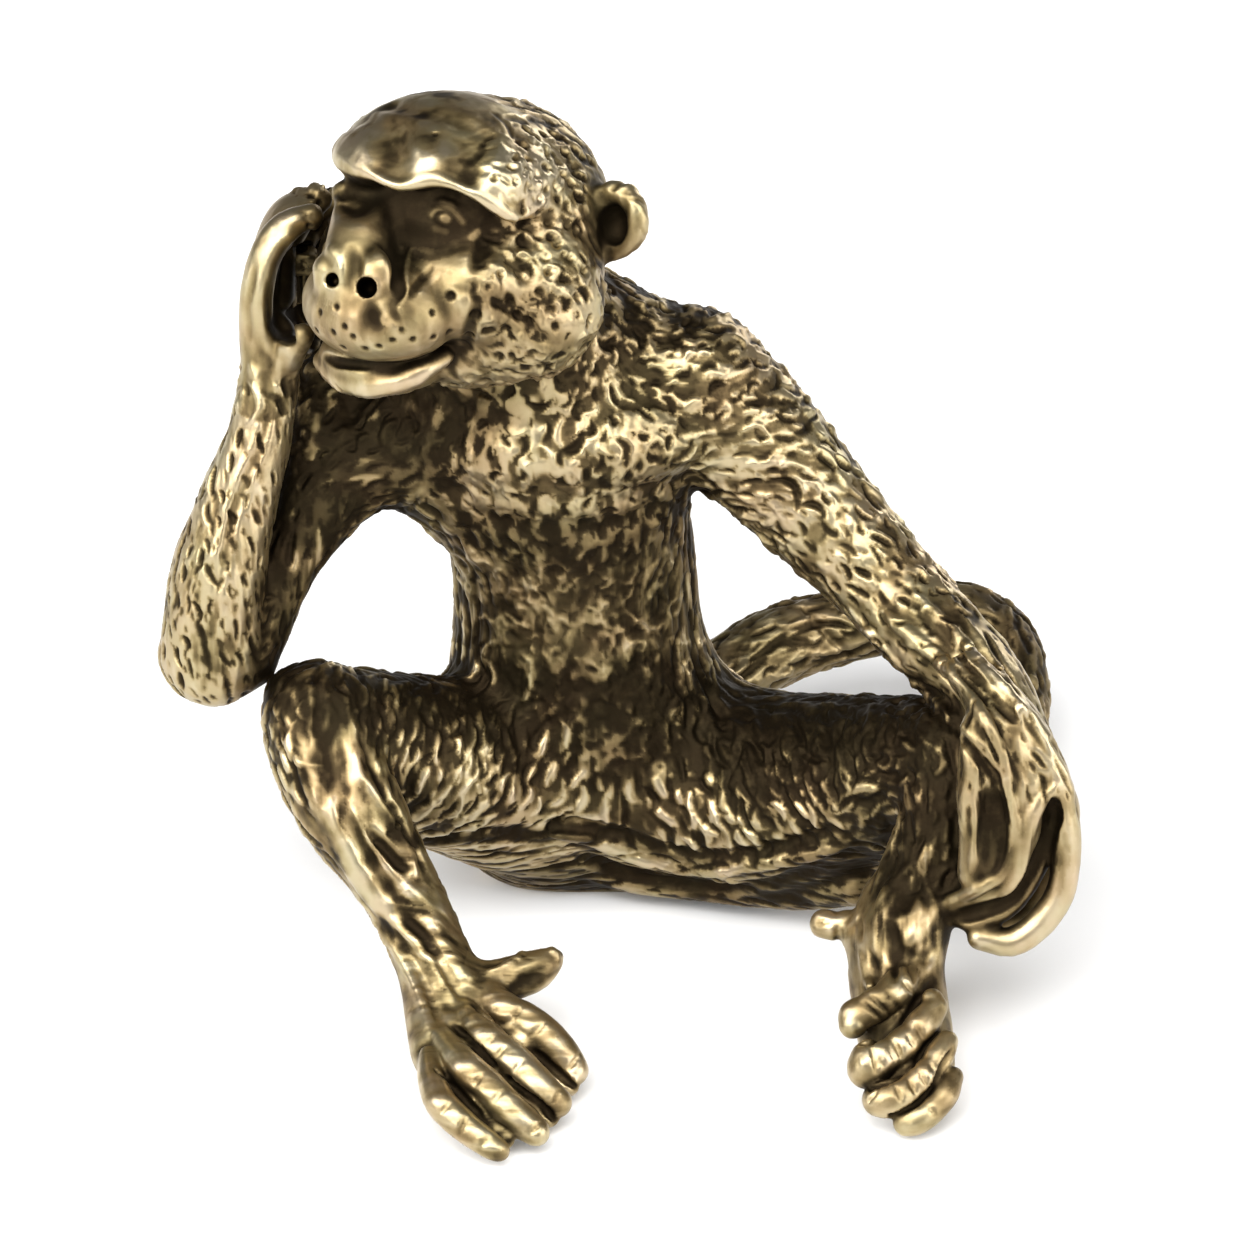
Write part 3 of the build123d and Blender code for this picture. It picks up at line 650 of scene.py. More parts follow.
# kind (G groove, R ridge), points in the main view, radius, depth or lift, softness
STROKES = [
    # left hand
    ("R", hand7((1285, 940), (1235, 985), (1200, 1060), (1172, 1160), (1155, 1240), (1105, 1320)), .42, .30, .2),
    ("R", hand7((700, 330), (860, 470), (980, 600), (1060, 740), (1108, 840), (1120, 950), (1146, 1100), (1110, 1230), (1050, 1275), (960, 1325), (880, 1355)), .32, .30, .15),
    ("R", hand7((955, 760), (985, 860), (970, 960), (962, 1100)), .28, .18, .2),
    ("G", hand7((1284, 985), (1262, 1120), (1200, 1260), (1128, 1352), (1010, 1385), (920, 1405)), .40, .46, .2),
    ("G", hand7((1062, 960), (1056, 1060), (1036, 1160)), .46, .30, .3),
    ("G", hand7((1205, 700), (1215, 800), (1190, 900)), .50, .10, .4),
    ("R", hand7((880, 190), (960, 320), (1050, 450), (1130, 560)), .16, .12, .12),
    # right foot: along and across its toes
    ("G", foot5((872, 650), (960, 718), (1050, 792), (1130, 856), (1210, 922), (1262, 968)), .20, .30, .08), ("G", foot5((796, 730), (870, 800), (950, 884), (1050, 972), (1130, 1032), (1186, 1096)), .20, .30, .08),
    ("G", foot5((726, 890), (790, 952), (860, 1030), (940, 1108), (1012, 1172)), .20, .30, .08),
    ("G", foot5((1010, 716), (1050, 660)), .14, .12, .08), ("G", foot5((1092, 770), (1140, 716)), .14, .10, .08),
    ("G", foot5((956, 850), (992, 806)), .14, .12, .08), ("G", foot5((1020, 908), (1060, 860)), .12, .10, .08), ("G", foot5((918, 804), (950, 770)), .10, .10, .06),
    ("G", foot5((872, 954), (906, 906)), .14, .12, .08), ("G", foot5((946, 1014), (984, 968)), .12, .10, .08), ("G", foot5((750, 1060), (784, 1016)), .12, .10, .08),
    ("G", foot5((1224, 902), (1278, 838)), .10, .12, .08), ("G", foot5((1164, 1034), (1204, 968)), .10, .12, .08),
    ("G", foot5((1084, 1136), (1132, 1088)), .10, .12, .08), ("G", foot5((896, 1190), (934, 1138)), .10, .10, .08), ("G", foot5((818, 1136), (846, 1066)), .10, .12, .08),
    ("R", foot5((925, 530), (1000, 500), (1070, 452), (1130, 440), (1188, 464), (1192, 500)), .20, .16, .12),
    ("G", foot5((1030, 590), (1080, 552), (1130, 524)), .42, .20, .2),
    # right shin: bone, tendons and the long muscles
    ("R", [(292, 998), (319, 1057), (351, 1123), (384, 1169)], .50, .16, .35),
    ("R", [(348, 979), (371, 1011), (397, 1051), (417, 1090), (424, 1117)], .24, .16, .15),
    ("R", [(342, 1031), (365, 1071), (391, 1110), (411, 1130)], .24, .14, .15),
    ("G", [(359, 1052), (378, 1074), (398, 1096), (411, 1112)], .24, .24, .15),
    ("G", [(322, 1010), (340, 1056), (368, 1105), (394, 1146)], .28, .18, .2),
    ("G", [(372, 990), (396, 1030), (420, 1072), (436, 1110)], .22, .14, .15),
    ("R", [(411, 1130), (437, 1163), (463, 1209), (484, 1243), (500, 1268)], .40, .20, .3),
    ("R", [(384, 1169), (430, 1209), (458, 1248), (476, 1290)], .30, .18, .2),
    ("G", [(400, 1160), (434, 1196), (462, 1240), (480, 1272)], .22, .16, .15),
    ("R", [(378, 1190), (405, 1230), (432, 1280), (444, 1322)], .26, .14, .2),
    ("G", [(396, 1190), (428, 1240), (450, 1290), (458, 1320)], .20, .14, .15),
    ("G", [(300, 905), (312, 950), (322, 1000)], .7, .12, .5),
    ("R", [(332, 905), (345, 950), (352, 985)], .40, .14, .3),
    ("R", [(262, 930), (282, 985), (300, 1035)], .40, .14, .3),
    ("G", [(350, 930), (366, 970), (380, 1000)], .26, .16, .2),
    # left foot
    ("G", foot6((700, 570), (650, 628), (610, 690), (560, 742), (500, 776), (430, 796)), .24, .34, .08), ("G", foot6((430, 974), (510, 950), (580, 920), (632, 876), (670, 816), (724, 756)), .16, .26, .06),
    ("G", foot6((516, 1086), (600, 1048), (660, 1006), (706, 956), (740, 890), (780, 816)), .16, .26, .06),
    ("G", foot6((470, 800), (486, 860), (492, 910)), .14, .16, .06), ("G", foot6((556, 780), (590, 860)), .14, .14, .06), ("R", foot6((430, 850), (446, 890)), .16, .10, .06), ("G", foot6((430, 1040), (480, 1000), (500, 960)), .08, .08, .06), ("G", foot6((650, 890), (684, 960)), .12, .12, .06), ("G", foot6((590, 560), (640, 620)), .16, .14, .08), ("G", foot6((560, 640), (600, 690)), .14, .12, .06), ("G", foot6((560, 950), (588, 1020)), .12, .12, .06), ("G", foot6((636, 716), (668, 776)), .16, .16, .06), ("G", foot6((604, 760), (634, 812)), .12, .12, .06), ("G", foot6((688, 862), (712, 908)), .12, .12, .06), ("G", foot6((610, 928), (644, 990)), .14, .14, .06), ("G", foot6((690, 1030), (716, 1070)), .12, .12, .06),
    ("G", foot6((436, 640), (512, 708)), .10, .14, .08), ("G", foot6((466, 612), (544, 690)), .10, .14, .08), ("G", foot6((520, 590), (560, 640)), .08, .08, .06),
    ("G", foot6((496, 820), (520, 896)), .10, .10, .08), ("G", foot6((536, 806), (560, 866)), .10, .10, .08),
    ("G", foot6((350, 360), (352, 420)), .22, .16, .15), ("G", foot6((428, 330), (440, 400)), .20, .16, .15),
    ("R", foot6((600, 420), (660, 350), (730, 270)), .5, .20, .3), ("G", foot6((520, 420), (560, 500), (566, 560)), .2, .16, .12), ("G", foot6((640, 430), (620, 500), (630, 560)), .2, .16, .12), ("R", foot6((430, 460), (452, 540), (470, 600)), .24, .12, .12), ("G", foot6((460, 440), (490, 520), (500, 580)), .18, .12, .12),
    ("G", foot6((540, 350), (560, 420), (590, 490)), .36, .24, .25),
    ("G", foot6((640, 470), (690, 480), (720, 440)), .3, .2, .25),
    ("R", foot6((500, 270), (560, 190), (630, 120)), .34, .20, .2),
    ("G", foot6((560, 300), (640, 200), (740, 110)), .5, .30, .3),
    # right forearm and the hand at the cheek
    ("R", [(207, 441), (223, 477), (216, 531), (193, 578), (170, 640), (156, 700)], .30, .12, .25),
    ("R", [(243, 436), (236, 486), (226, 540), (206, 600)], .26, .12, .2),
    ("G", [(224, 452), (231, 490), (222, 540), (200, 592), (180, 655), (164, 730), (153, 800)], .20, .14, .15),
    ("R", face1((600, 592), (545, 620), (508, 690), (486, 780), (492, 870), (524, 950)), .36, .16, .2),
    ("G", face1((574, 650), (556, 740), (556, 830), (576, 910)), .55, .50, .25),
    ("G", face1((470, 700), (452, 800), (456, 900)), .18, .10, .15),
    # face
    ("G", face1((905, 640), (890, 720), (900, 780), (872, 812), (905, 860)), .24, .13, .2),
    ("R", face1((935, 640), (918, 700), (925, 770), (895, 800), (905, 850)), .16, .12, .1),
    ("G", face1((990, 700), (960, 735), (935, 780)), .18, .16, .12),
    ("G", face1((820, 810), (826, 850), (836, 880)), .62, .22, .3),
    ("G", face1((1120, 740), (1130, 800), (1110, 870), (1090, 930)), .30, .22, .25),
    ("G", face1((1160, 560), (1150, 620), (1120, 700)), .34, .24, .3),
    ("G", face1((1160, 780), (1230, 820), (1290, 880), (1340, 920)), .30, .26, .2),
    ("R", face1((1200, 700), (1230, 750), (1280, 760), (1310, 730)), .30, .16, .2),
    ("R", face1((1290, 640), (1282, 605), (1248, 596), (1216, 622), (1218, 668), (1250, 690), (1284, 680)), .18, .12, .1),
    ("G", face1((1262, 640), (1250, 628), (1238, 640), (1246, 656)), .14, .14, .08),
    ("R", face1((640, 640), (690, 640), (730, 680), (735, 730)), .3, .12, .25),
    ("R", face1((835, 640), (860, 690), (872, 750)), .3, .14, .2),
    ("G", face1((760, 640), (770, 700), (760, 760)), .3, .10, .25),
    ("G", face1((1100, 1070), (1230, 1040), (1370, 1000), (1450, 930)), .5, .30, .35),
    ("R", face1((700, 360), (760, 392), (830, 424), (890, 450), (930, 452), (990, 440), (1050, 450), (1120, 480), (1170, 512), (1218, 545), (1268, 544), (1318, 506)), .26, .14, .12),
    # left forearm: long folds towards the wrist
    ("R", [(1000, 762), (1040, 806), (1086, 856), (1130, 900), (1168, 938), (1204, 984)], .22, .18, .12),
    ("G", [(1006, 780), (1040, 820), (1084, 870), (1126, 914), (1160, 950), (1190, 992)], .20, .16, .12),
    ("R", [(1090, 742), (1128, 780), (1170, 826), (1208, 868), (1236, 902)], .22, .16, .12),
    ("G", [(1080, 752), (1116, 792), (1156, 838), (1194, 880), (1222, 914)], .18, .14, .12),
    ("G", [(940, 760), (990, 812), (1040, 866), (1084, 912)], .18, .12, .12),
    ("R", [(1168, 960), (1160, 1010), (1166, 1062), (1160, 1110)], .20, .16, .12),
    ("G", [(1180, 1000), (1184, 1050), (1180, 1100)], .40, .22, .25),
    # eyelids and brow bumps
    ("R", [(316, 220), (328, 230), (344, 224)], .14, .12, .08),
    ("R", [(326, 150), (346, 158), (362, 170)], 1.0, .22, .7),
    ("R", [(424, 160), (440, 176)], 1.0, .22, .7),
    ("R", [(528, 180), (556, 206)], 1.1, .24, .7),
    ("G", [(392, 128), (400, 156), (404, 184)], .9, .20, .7),
    ("G", [(488, 140), (496, 168), (496, 192)], .9, .20, .7),
    ("G", [(366, 92), (420, 104), (480, 120), (520, 140)], .5, .10, .4),
    # belly: the crease and the edge under it
    ("G", [(428, 1074), (470, 1068), (530, 1062), (590, 1062)], .40, .30, .25),
    ("G", [(640, 1092), (720, 1122), (800, 1134), (880, 1132), (960, 1112)], .45, .34, .3),
    ("R", [(600, 1060), (640, 1066), (690, 1084), (750, 1104), (810, 1112), (860, 1108), (910, 1098), (960, 1086), (1000, 1074)], .34, .28, .15),
    ("G", [(590, 1050), (650, 1052), (700, 1064), (760, 1085), (830, 1091), (900, 1080), (980, 1056)], .34, .28, .2),
    # under the chest
    ("G", [(500, 640), (560, 652), (620, 655), (690, 650), (745, 628)], .6, .24, .5),
]
tubes = stroke_tubes([t for t in STROKES if t[0] == "R"])
apply_tubes(tubes)
grid[gx[:, 0], gx[:, 1], gx[:, 2]] = D.reshape(-1)
tubes = stroke_tubes([t for t in STROKES if t[0] == "G"])
apply_tubes(tubes)
D = np.maximum(D, -P[:, :, 2] + F(0.02))
grid[gx[:, 0], gx[:, 1], gx[:, 2]] = D.reshape(-1)
log("strokes")
del P, D, gx

# ------------------------------------------------------------- surface nets
def surface_nets(g):
    s = g < 0
    c = s[:-1, :-1, :-1].astype(np.uint8)
    for dx in (0, 1):
        for dy in (0, 1):
            for dz in (0, 1):
                if dx or dy or dz:
                    c += s[dx:g.shape[0] - 1 + dx, dy:g.shape[1] - 1 + dy, dz:g.shape[2] - 1 + dz]
    cells = np.argwhere((c > 0) & (c < 8))
    del c
    corner = {}
    for dx in (0, 1):
        for dy in (0, 1):
            for dz in (0, 1):
                corner[dx, dy, dz] = g[cells[:, 0] + dx, cells[:, 1] + dy, cells[:, 2] + dz]
    acc = np.zeros((len(cells), 3)); cnt = np.zeros(len(cells))
    for a in corner:
        for j in range(3):
            if a[j] == 0:
                b = list(a); b[j] = 1; b = tuple(b)
                va, vb = corner[a], corner[b]
                m = (va < 0) != (vb < 0)
                t = np.where(m, va / np.where(m, va - vb, 1), 0)
                p = np.array(a, float)[None].repeat(len(cells), 0)
                p[:, j] = t
                acc[m] += p[m]; cnt[m] += 1
    verts = LO + (cells + acc / cnt[:, None]) * CELL
    idx = np.full(np.array(g.shape) - 1, -1, np.int32)
    idx[cells[:, 0], cells[:, 1], cells[:, 2]] = np.arange(len(cells))
    quads = []
    for j in range(3):
        a = [slice(None)] * 3; b = [slice(None)] * 3
        a[j] = slice(0, -1); b[j] = slice(1, None)
        e = np.argwhere(s[tuple(a)] != s[tuple(b)])
        u, v = [(1, 2), (2, 0), (0, 1)][j]
        ok = (e[:, u] > 0) & (e[:, v] > 0) & (e[:, u] < g.shape[u] - 1) & (e[:, v] < g.shape[v] - 1)
        e = e[ok]
        du = np.zeros(3, int); dv = np.zeros(3, int); du[u] = 1; dv[v] = 1
        q = [e - du - dv, e - dv, e, e - du]
        q = np.stack([idx[x[:, 0], x[:, 1], x[:, 2]] for x in q], 1)
        flip = ~s[e[:, 0], e[:, 1], e[:, 2]]
        q[flip] = q[flip][:, ::-1]
        quads.append(q)
    quads = np.concatenate(quads)
    return verts, quads[(quads >= 0).all(1)]


V, Q = surface_nets(grid)
log("mesh", len(V), "vertices", len(Q), "quads")


# ------------------------------------------------------------- mesh utilities
def mesh_edges(Q):
    e = np.concatenate([Q[:, [0, 1]], Q[:, [1, 2]], Q[:, [2, 3]], Q[:, [3, 0]]])
    e.sort(axis=1)
    key = e[:, 0].astype(np.int64) * (Q.max() + 1) + e[:, 1]
    _, i = np.unique(key, return_index=True)
    return e[i]


def rings(E):
    """Neighbour lists: for each vertex the start of its run in a flat array."""
    src = np.concatenate([E[:, 0], E[:, 1]])
    dst = np.concatenate([E[:, 1], E[:, 0]])
    order = np.argsort(src, kind="stable")
    src, dst = src[order], dst[order]
    return src, dst, np.flatnonzero(np.r_[True, src[1:] != src[:-1]])


def spread(x, w=None, ws=None):
    """Mean of each vertex's neighbours, weighted if asked."""
    g = x[RD]
    if w is None:
        sm = np.add.reduceat(g, RS, axis=0)
        return sm / (DEG[:, None] if x.ndim == 2 else DEG)
    return np.add.reduceat(g * w, RS) / ws


def vertex_normals(V, Q):
    a = V[Q[:, 2]] - V[Q[:, 0]]
    b = V[Q[:, 3]] - V[Q[:, 1]]
    fn = np.cross(a, b)
    n = np.stack([sum(np.bincount(Q[:, c], fn[:, j], len(V)) for c in range(4)) for j in range(3)], 1)
    return n / (np.linalg.norm(n, axis=1, keepdims=True) + 1e-12)


def components(E, n):
    """A label for each connected surface."""
    lab = np.arange(n)
    src = np.concatenate([E[:, 0], E[:, 1]])
    dst = np.concatenate([E[:, 1], E[:, 0]])
    order = np.argsort(src, kind="stable")
    src, dst = src[order], dst[order]
    start = np.flatnonzero(np.r_[True, src[1:] != src[:-1]])
    who = src[start]
    while True:
        new = lab.copy()
        new[who] = np.minimum(lab[who], np.minimum.reduceat(lab[dst], start))
        for _ in range(6):
            new = new[new]
        if (new == lab).all():
            return lab
        lab = new


lab = components(mesh_edges(Q), len(V))
names, counts = np.unique(lab, return_counts=True)
keep = lab == names[counts.argmax()]
log("surfaces", len(names), "dropped", int((~keep).sum()))
remap = np.cumsum(keep) - 1
Q = remap[Q[keep[Q[:, 0]]]]
V = V[keep]
E = mesh_edges(Q)
NV = len(V)
RSRC, RD, RS = rings(E)
DEG = np.diff(np.r_[RS, len(RD)]).astype(float)
for it in range(3):
    V = V + 0.5 * (spread(V) - V)
    v, gr = slope(grid, V)
    V = V - gr * np.clip(v, -CELL, CELL)[:, None]
V[:, 2] = np.maximum(V[:, 2], 0.0)
NRM = vertex_normals(V, Q)
log("relaxed", NV)

# ------------------------------------------------ which piece each face belongs to
PARTS = ["torso", "head", "right_arm", "left_arm", "right_leg", "left_leg", "tail"]
PLANES = {"head": ((-4.9, -.7, 27.6), (-.22, -.12, .97)), "right_arm": ((-8.5, -1.3, 21.9), (-.90, -.20, -.38)),
          "left_arm": ((4.0, .2, 22.9), (.90, -.10, -.42)), "right_leg": ((-4.4, -1.9, 5.2), (-.76, -.52, .38)),
          "left_leg": ((4.8, -1.7, 5.0), (.84, -.48, .22)), "tail": ((1.7, 4.3, 3.3), (.42, .90, .05))}


def prim_reach(fn, args, pts, reach):
    """Indices of the points that may lie within reach of a primitive."""
    if fn is rc:
        a, b, ra, rb = args
        lo = np.minimum(a, b) - max(ra, rb) - reach
        hi = np.maximum(a, b) + max(ra, rb) + reach
    elif fn is ell:
        c, r = args[0], max(args[1])
        lo = np.asarray(c) - r - reach
        hi = np.asarray(c) + r + reach
    else:
        return np.arange(len(pts))
    return np.where(((pts > lo) & (pts < hi)).all(1))[0]


V32 = V.astype(F)
dist = np.full((len(PARTS), NV), 50.0, F)
flow = np.zeros((NV, 3))
for c, (g, part, k, cut) in enumerate(CHAINS):
    ids = [i for i, p in enumerate(PRIMS) if p[0] == c]
    sub = np.unique(np.concatenate([prim_reach(PRIMS[i][1], PRIMS[i][2], V, 1.6) for i in (ids[0], ids[-1])]
                                   + [prim_reach(PRIMS[i][1], PRIMS[i][2], V, 2.6) for i in ids[1:-1:3]])) if len(ids) > 4 else None
    for i in ids:
        _, fn, args, ax = PRIMS[i]
        if sub is None:
            s = prim_reach(fn, args, V, 1.6)
        else:
            s = sub[prim_reach(fn, args, V32[sub], 1.6)]
        if not len(s):
            continue
        d = fn(V32[s], *args)
        j = PARTS.index(part)
        dist[j, s] = np.minimum(dist[j, s], d)
        if ax is not None:
            flow[s] += np.exp(-np.maximum(d, -0.4) / 0.5)[:, None] * ax
cand = dist.copy()
for name, (o, n) in PLANES.items():
    j = PARTS.index(name)
    side = (V - np.array(o)) @ np.array(n)
    cand[j] = np.where(side > 0, np.where(dist[j] < dist[0] + 1.5, dist[j] - 3.0, dist[j]), 60.0 + dist[j])
label = cand.argmin(0)
flabel = np.take_along_axis(label[Q], np.zeros((len(Q), 1), int), 1)[:, 0]
flow -= NRM * (flow * NRM).sum(1, keepdims=True)
flow /= np.linalg.norm(flow, axis=1, keepdims=True) + 1e-6
log("labels", np.bincount(flabel, minlength=7))

# ---------------------------------------------------------------- detail height
rng = np.random.default_rng(7)


def lattice(pts, scale, seed):
    """Smooth value noise in -1..1."""
    q = pts / scale + 100.0
    i = np.floor(q).astype(np.int64)
    f = q - i
    f = f * f * (3 - 2 * f)
    out = 0.0
    for dx in (0, 1):
        for dy in (0, 1):
            for dz in (0, 1):
                h = ((i[:, 0] + dx) * 73856093) ^ ((i[:, 1] + dy) * 19349663) ^ ((i[:, 2] + dz) * 83492791) ^ (seed * 2654435761)
                h = (h ^ (h >> 13)) * 1274126177
                h = (h ^ (h >> 16)) & 0xFFFF
                w = (f[:, 0] if dx else 1 - f[:, 0]) * (f[:, 1] if dy else 1 - f[:, 1]) * (f[:, 2] if dz else 1 - f[:, 2])
                out = out + w * (h / 32767.5 - 1)
    return out


def fbm(pts, scale, seed, octaves=3):
    return sum(lattice(pts, scale / 2 ** o, seed + o) * 0.5 ** o for o in range(octaves)) / (2 - 0.5 ** (octaves - 1))


def blob(c, r, soft=0.35):
    """1 inside a ball, 0 outside, on the vertices."""
    d = np.linalg.norm(V - np.asarray(c), axis=1) / r
    t = np.clip((1 + soft - d) / (2 * soft), 0, 1)
    return t * t * (3 - 2 * t)


def capsule(a, b, r, soft=0.35):
    a = np.asarray(a, float); b = np.asarray(b, float)
    ba = b - a
    t = np.clip(((V - a) @ ba) / (ba @ ba), 0, 1)
    d = np.linalg.norm(V - a - t[:, None] * ba, axis=1) / r
    t = np.clip((1 + soft - d) / (2 * soft), 0, 1)
    return t * t * (3 - 2 * t)


def ramp(x, lo, hi):
    t = np.clip((x - lo) / (hi - lo), 0, 1)
    return t * t * (3 - 2 * t)


IMG = np.stack(view_xy(V), 1)
DEPTH = view_depth(V)
# what the main view sees, from a depth buffer of the vertices
_g = np.floor(IMG / 6).astype(int)
_g -= _g.min(0)
_key = _g[:, 0] * (_g[:, 1].max() + 1) + _g[:, 1]
_zb = np.full(_key.max() + 1, -1e9)
np.maximum.at(_zb, _key, DEPTH)
SEEN = (DEPTH > _zb[_key] - 0.9) & (NRM @ VIEW < -0.05)


def spot(x, y, r, soft=0.35):
    """1 inside a disc of the main view, on the vertices that it sees."""
    d = np.hypot(IMG[:, 0] - x, IMG[:, 1] - y) / r
    t = np.clip((1 + soft - d) / (2 * soft), 0, 1)
    return t * t * (3 - 2 * t) * SEEN


isp = {n: label == j for j, n in enumerate(PARTS)}
hd = (V - EYE) @ HEAD_R.T                      # head coordinates of every vertex

bare = np.zeros(NV)
for m in (
    # face, brow and eyes
    isp["head"] * ramp(hd[:, 0], -2.4, -0.9) * ramp(hd[:, 2], -8.6, -8.0) * (1 - ramp(np.where(hd[:, 1] < 0, -hd[:, 1] - 1.4, hd[:, 1] - 0.2), 3.0, 4.2) * ramp(-hd[:, 2], 1.0, 2.5)),
    isp["head"] * ramp(hd[:, 2], 0.0, 0.8) * ramp(hd[:, 0], -7.5, -5.5) * (1 - ramp(np.abs(hd[:, 1] + 0.6), 2.8, 4.2)),
    isp["head"] * blob(_ec, 2.2), isp["head"] * blob(mirror(_ec), 2.2),
    # hands
    isp["right_arm"] * ramp(V[:, 2], 25.5, 27.0), isp["left_arm"] * (1 - ramp(V[:, 2], 10.0, 12.2)) * (V[:, 1] < -8),
    # feet and the fronts of the shins
    isp["right_leg"] * (V[:, 1] < -7) * (1 - ramp(V[:, 2], 3.4, 4.8)), isp["left_leg"] * (V[:, 1] < -9) * (1 - ramp(V[:, 2], 6.6, 8.0)),
    isp["right_leg"] * capsule(at(316, 950, -10.0), at(345, 1050, -12.0), 1.5) * SEEN,
    isp["right_leg"] * capsule(at(350, 1040, -12.0), at(450, 1230, -14.5), 2.2) * SEEN,
):
    bare = np.maximum(bare, m)
FURRY = 1 - bare

# how the fur lies
down = np.array([0, 0, -1.0])
T = flow.copy()
leg = (isp["right_leg"] | isp["left_leg"]) & (V[:, 1] > -9)
low = isp["torso"] & (V[:, 2] < 7.5)
for m, d, w in ((leg, down, 1.6), (low, down, 1.0), (isp["torso"] & (V[:, 2] > 17), np.array([0.25, 0, -1.0]), 1.2), (isp["head"], -HF * 0.9 - HU * 0.6, 3.0)):
    T[m] += w * d


def tangent(T, N):
    T = T - N * (T * N).sum(1, keepdims=True)
    return T / (np.linalg.norm(T, axis=1, keepdims=True) + 1e-9)


T = tangent(T, NRM)
turn = np.zeros(NV)
turn += 1.15 * isp["left_arm"] * (1 - ramp(np.linalg.norm(V - np.array([4.5, 0, 22.5]), axis=1), 3.0, 7.0))
turn += 0.42 * isp["right_arm"] * (V[:, 1] < -4.2)
turn += 0.9 * (isp["torso"] & (V[:, 0] > 0) & (V[:, 2] > 20)) * ramp(V[:, 0], 0, 3)
turn += 0.35 * fbm(V, 3.5, 3)
Bn = np.cross(NRM, T)
T = T * np.cos(turn)[:, None] + Bn * np.sin(turn)[:, None]

# local style: length, width, depth, spacing along and across, wander of direction, curl
style = np.tile(np.array([1.05, 0.30, 0.14, 1.0, 0.50, 0.25, 0.10]), (NV, 1))
tuft = np.zeros(NV)                      # where locks stand proud instead


def use(mask, vals):
    m = np.clip(mask, 0, 1)[:, None]
    style[:] = style * (1 - m) + np.array(vals) * m


near_shoulder = np.linalg.norm(V - np.array([4.5, 0, 22.5]), axis=1)
legs = isp["right_leg"] | isp["left_leg"]
sa = np.full(NV, 0.8)                    # fine drawn-out relief
sb = np.full(NV, 0.3)                    # broad patches
tf = np.full(NV, 0.2)                    # locks that stand proud
lift = np.full(NV, -0.04)                # how bright the fur is kept


def zone(mask, vals, amp, patch, proud, bright):
    use(mask, vals)
    m = np.clip(mask, 0, 1)
    sa[:] = sa * (1 - m) + amp * m
    sb[:] = sb * (1 - m) + patch * m
    tf[:] = tf * (1 - m) + proud * m
    lift[:] = lift * (1 - m) + bright * m


shoulder = isp["left_arm"] * (1 - ramp(near_shoulder, 4.0, 7.0))
chest = isp["torso"] * ramp(V[:, 2], 17.5, 19.0)
zone(chest, [0.75, 0.32, 0.20, 1.1, 0.80, 0.9, 0.5], 0.5, 1.1, 0.15, 0.02)
zone(isp["left_arm"] * 1.0, [0.74, 0.23, 0.18, 0.85, 0.48, 0.40, 0.3], 0.5, 0.7, 0.1, 0.05)
zone(shoulder, [0.85, 0.26, 0.20, 0.95, 0.56, 0.55, 0.4], 0.6, 1.0, 0.2, 0.0)
zone(isp["left_arm"] * ramp(near_shoulder, 13.0, 15.5), [1.7, 0.24, 0.14, 1.8, 0.75, 0.12, 0.05], 0.35, 0.4, 0.0, 0.10)
zone(isp["right_arm"] * 1.0, [0.9, 0.30, 0.2, 1.1, 0.6, 0.5, 0.4], 0.7, 0.8, 0.2, -0.30)
zone(isp["right_arm"] * ramp(-V[:, 1], 3.0, 4.2) * (V[:, 2] < 25), [0.78, 0.24, 0.20, 0.90, 0.54, 0.3, 0.2], 0.35, 0.5, 0.0, 0.10)
belly = isp["torso"] * (1 - ramp(V[:, 2], 17.0, 18.5)) * ramp(V[:, 2], 6.5, 8.0) * ramp(-V[:, 1], 0.0, 1.5)
zone(belly, [0.5, 0.24, 0.10, 1.3, 0.90, 0.8, 0.4], 0.25, 0.5, 0.25, -0.15)
flank = isp["torso"] * (1 - ramp(V[:, 2], 17.0, 18.5)) * ramp(V[:, 2], 3.0, 6.0) * ramp(np.abs(V[:, 0] + 1.4), 3.3, 4.3)
zone(flank, [2.0, 0.22, 0.14, 1.8, 0.50, 0.12, 0.08], 0.9, 0.2, 0.0, -0.06)
zone((low | legs).astype(float), [1.30, 0.34, 0.20, 1.5, 0.80, 0.30, 0.35], 0.6, 0.4, 1.0, -0.12)
# painted shade: the fur of the legs and lower trunk darker where it faces up
lift -= 0.30 * (legs | low) * ramp(NRM[:, 2], 0.25, 0.65)
edge_y = np.interp(IMG[:, 0], [380, 420, 520, 600, 672, 750, 828, 905, 1000, 1040], [1100, 1072, 1062, 1062, 1068, 1088, 1096, 1086, 1064, 1100])
under = (legs | low) * (NRM @ VIEW < 0.1) * ramp(IMG[:, 1] - edge_y, -5, 5) * (IMG[:, 0] > 400) * (IMG[:, 0] < 1030) * (DEPTH < 40)
shin_side = isp["left_leg"] * (V[:, 1] < -9.5)
hem = np.maximum(under, (legs | low) * (V[:, 0] > -7) * (1 - ramp(V[:, 2], 2.4, 3.2)) * (V[:, 1] > -9)) * (1 - shin_side)
zone(hem, [1.8, 0.26, 0.12, 2.0, 0.70, 0.15, 0.15], 0.6, 0.5, 0.0, -0.06)
# painted reflection of the floor: the left part of the hem kept lighter
lift += 0.14 * hem * (1 - ramp(IMG[:, 0], 560, 660))
ruff = isp["head"] * (1 - bare)
zone(ruff, [0.55, 0.36, 0.22, 1.05, 0.95, 1.1, 0.5], 0.2, 0.8, 0.2, 0.18)
back = isp["torso"] * ramp(V[:, 1], 0.5, 2.0) * ramp(V[:, 2], 4.0, 7.0)
zone(back, [1.4, 0.34, 0.17, 1.5, 0.66, 0.28, 0.2], 0.9, 0.5, 0.1, -0.10)
zone(isp["head"] * ramp(-hd[:, 0], 5.5, 7.5), [1.2, 0.36, 0.17, 1.3, 0.66, 0.3, 0.2], 0.8, 0.5, 0.1, -0.06)
zone(isp["tail"] * 1.0, [1.3, 0.32, 0.18, 1.4, 0.66, 0.35, 0.3], 0.8, 0.4, 0.1, -0.08)
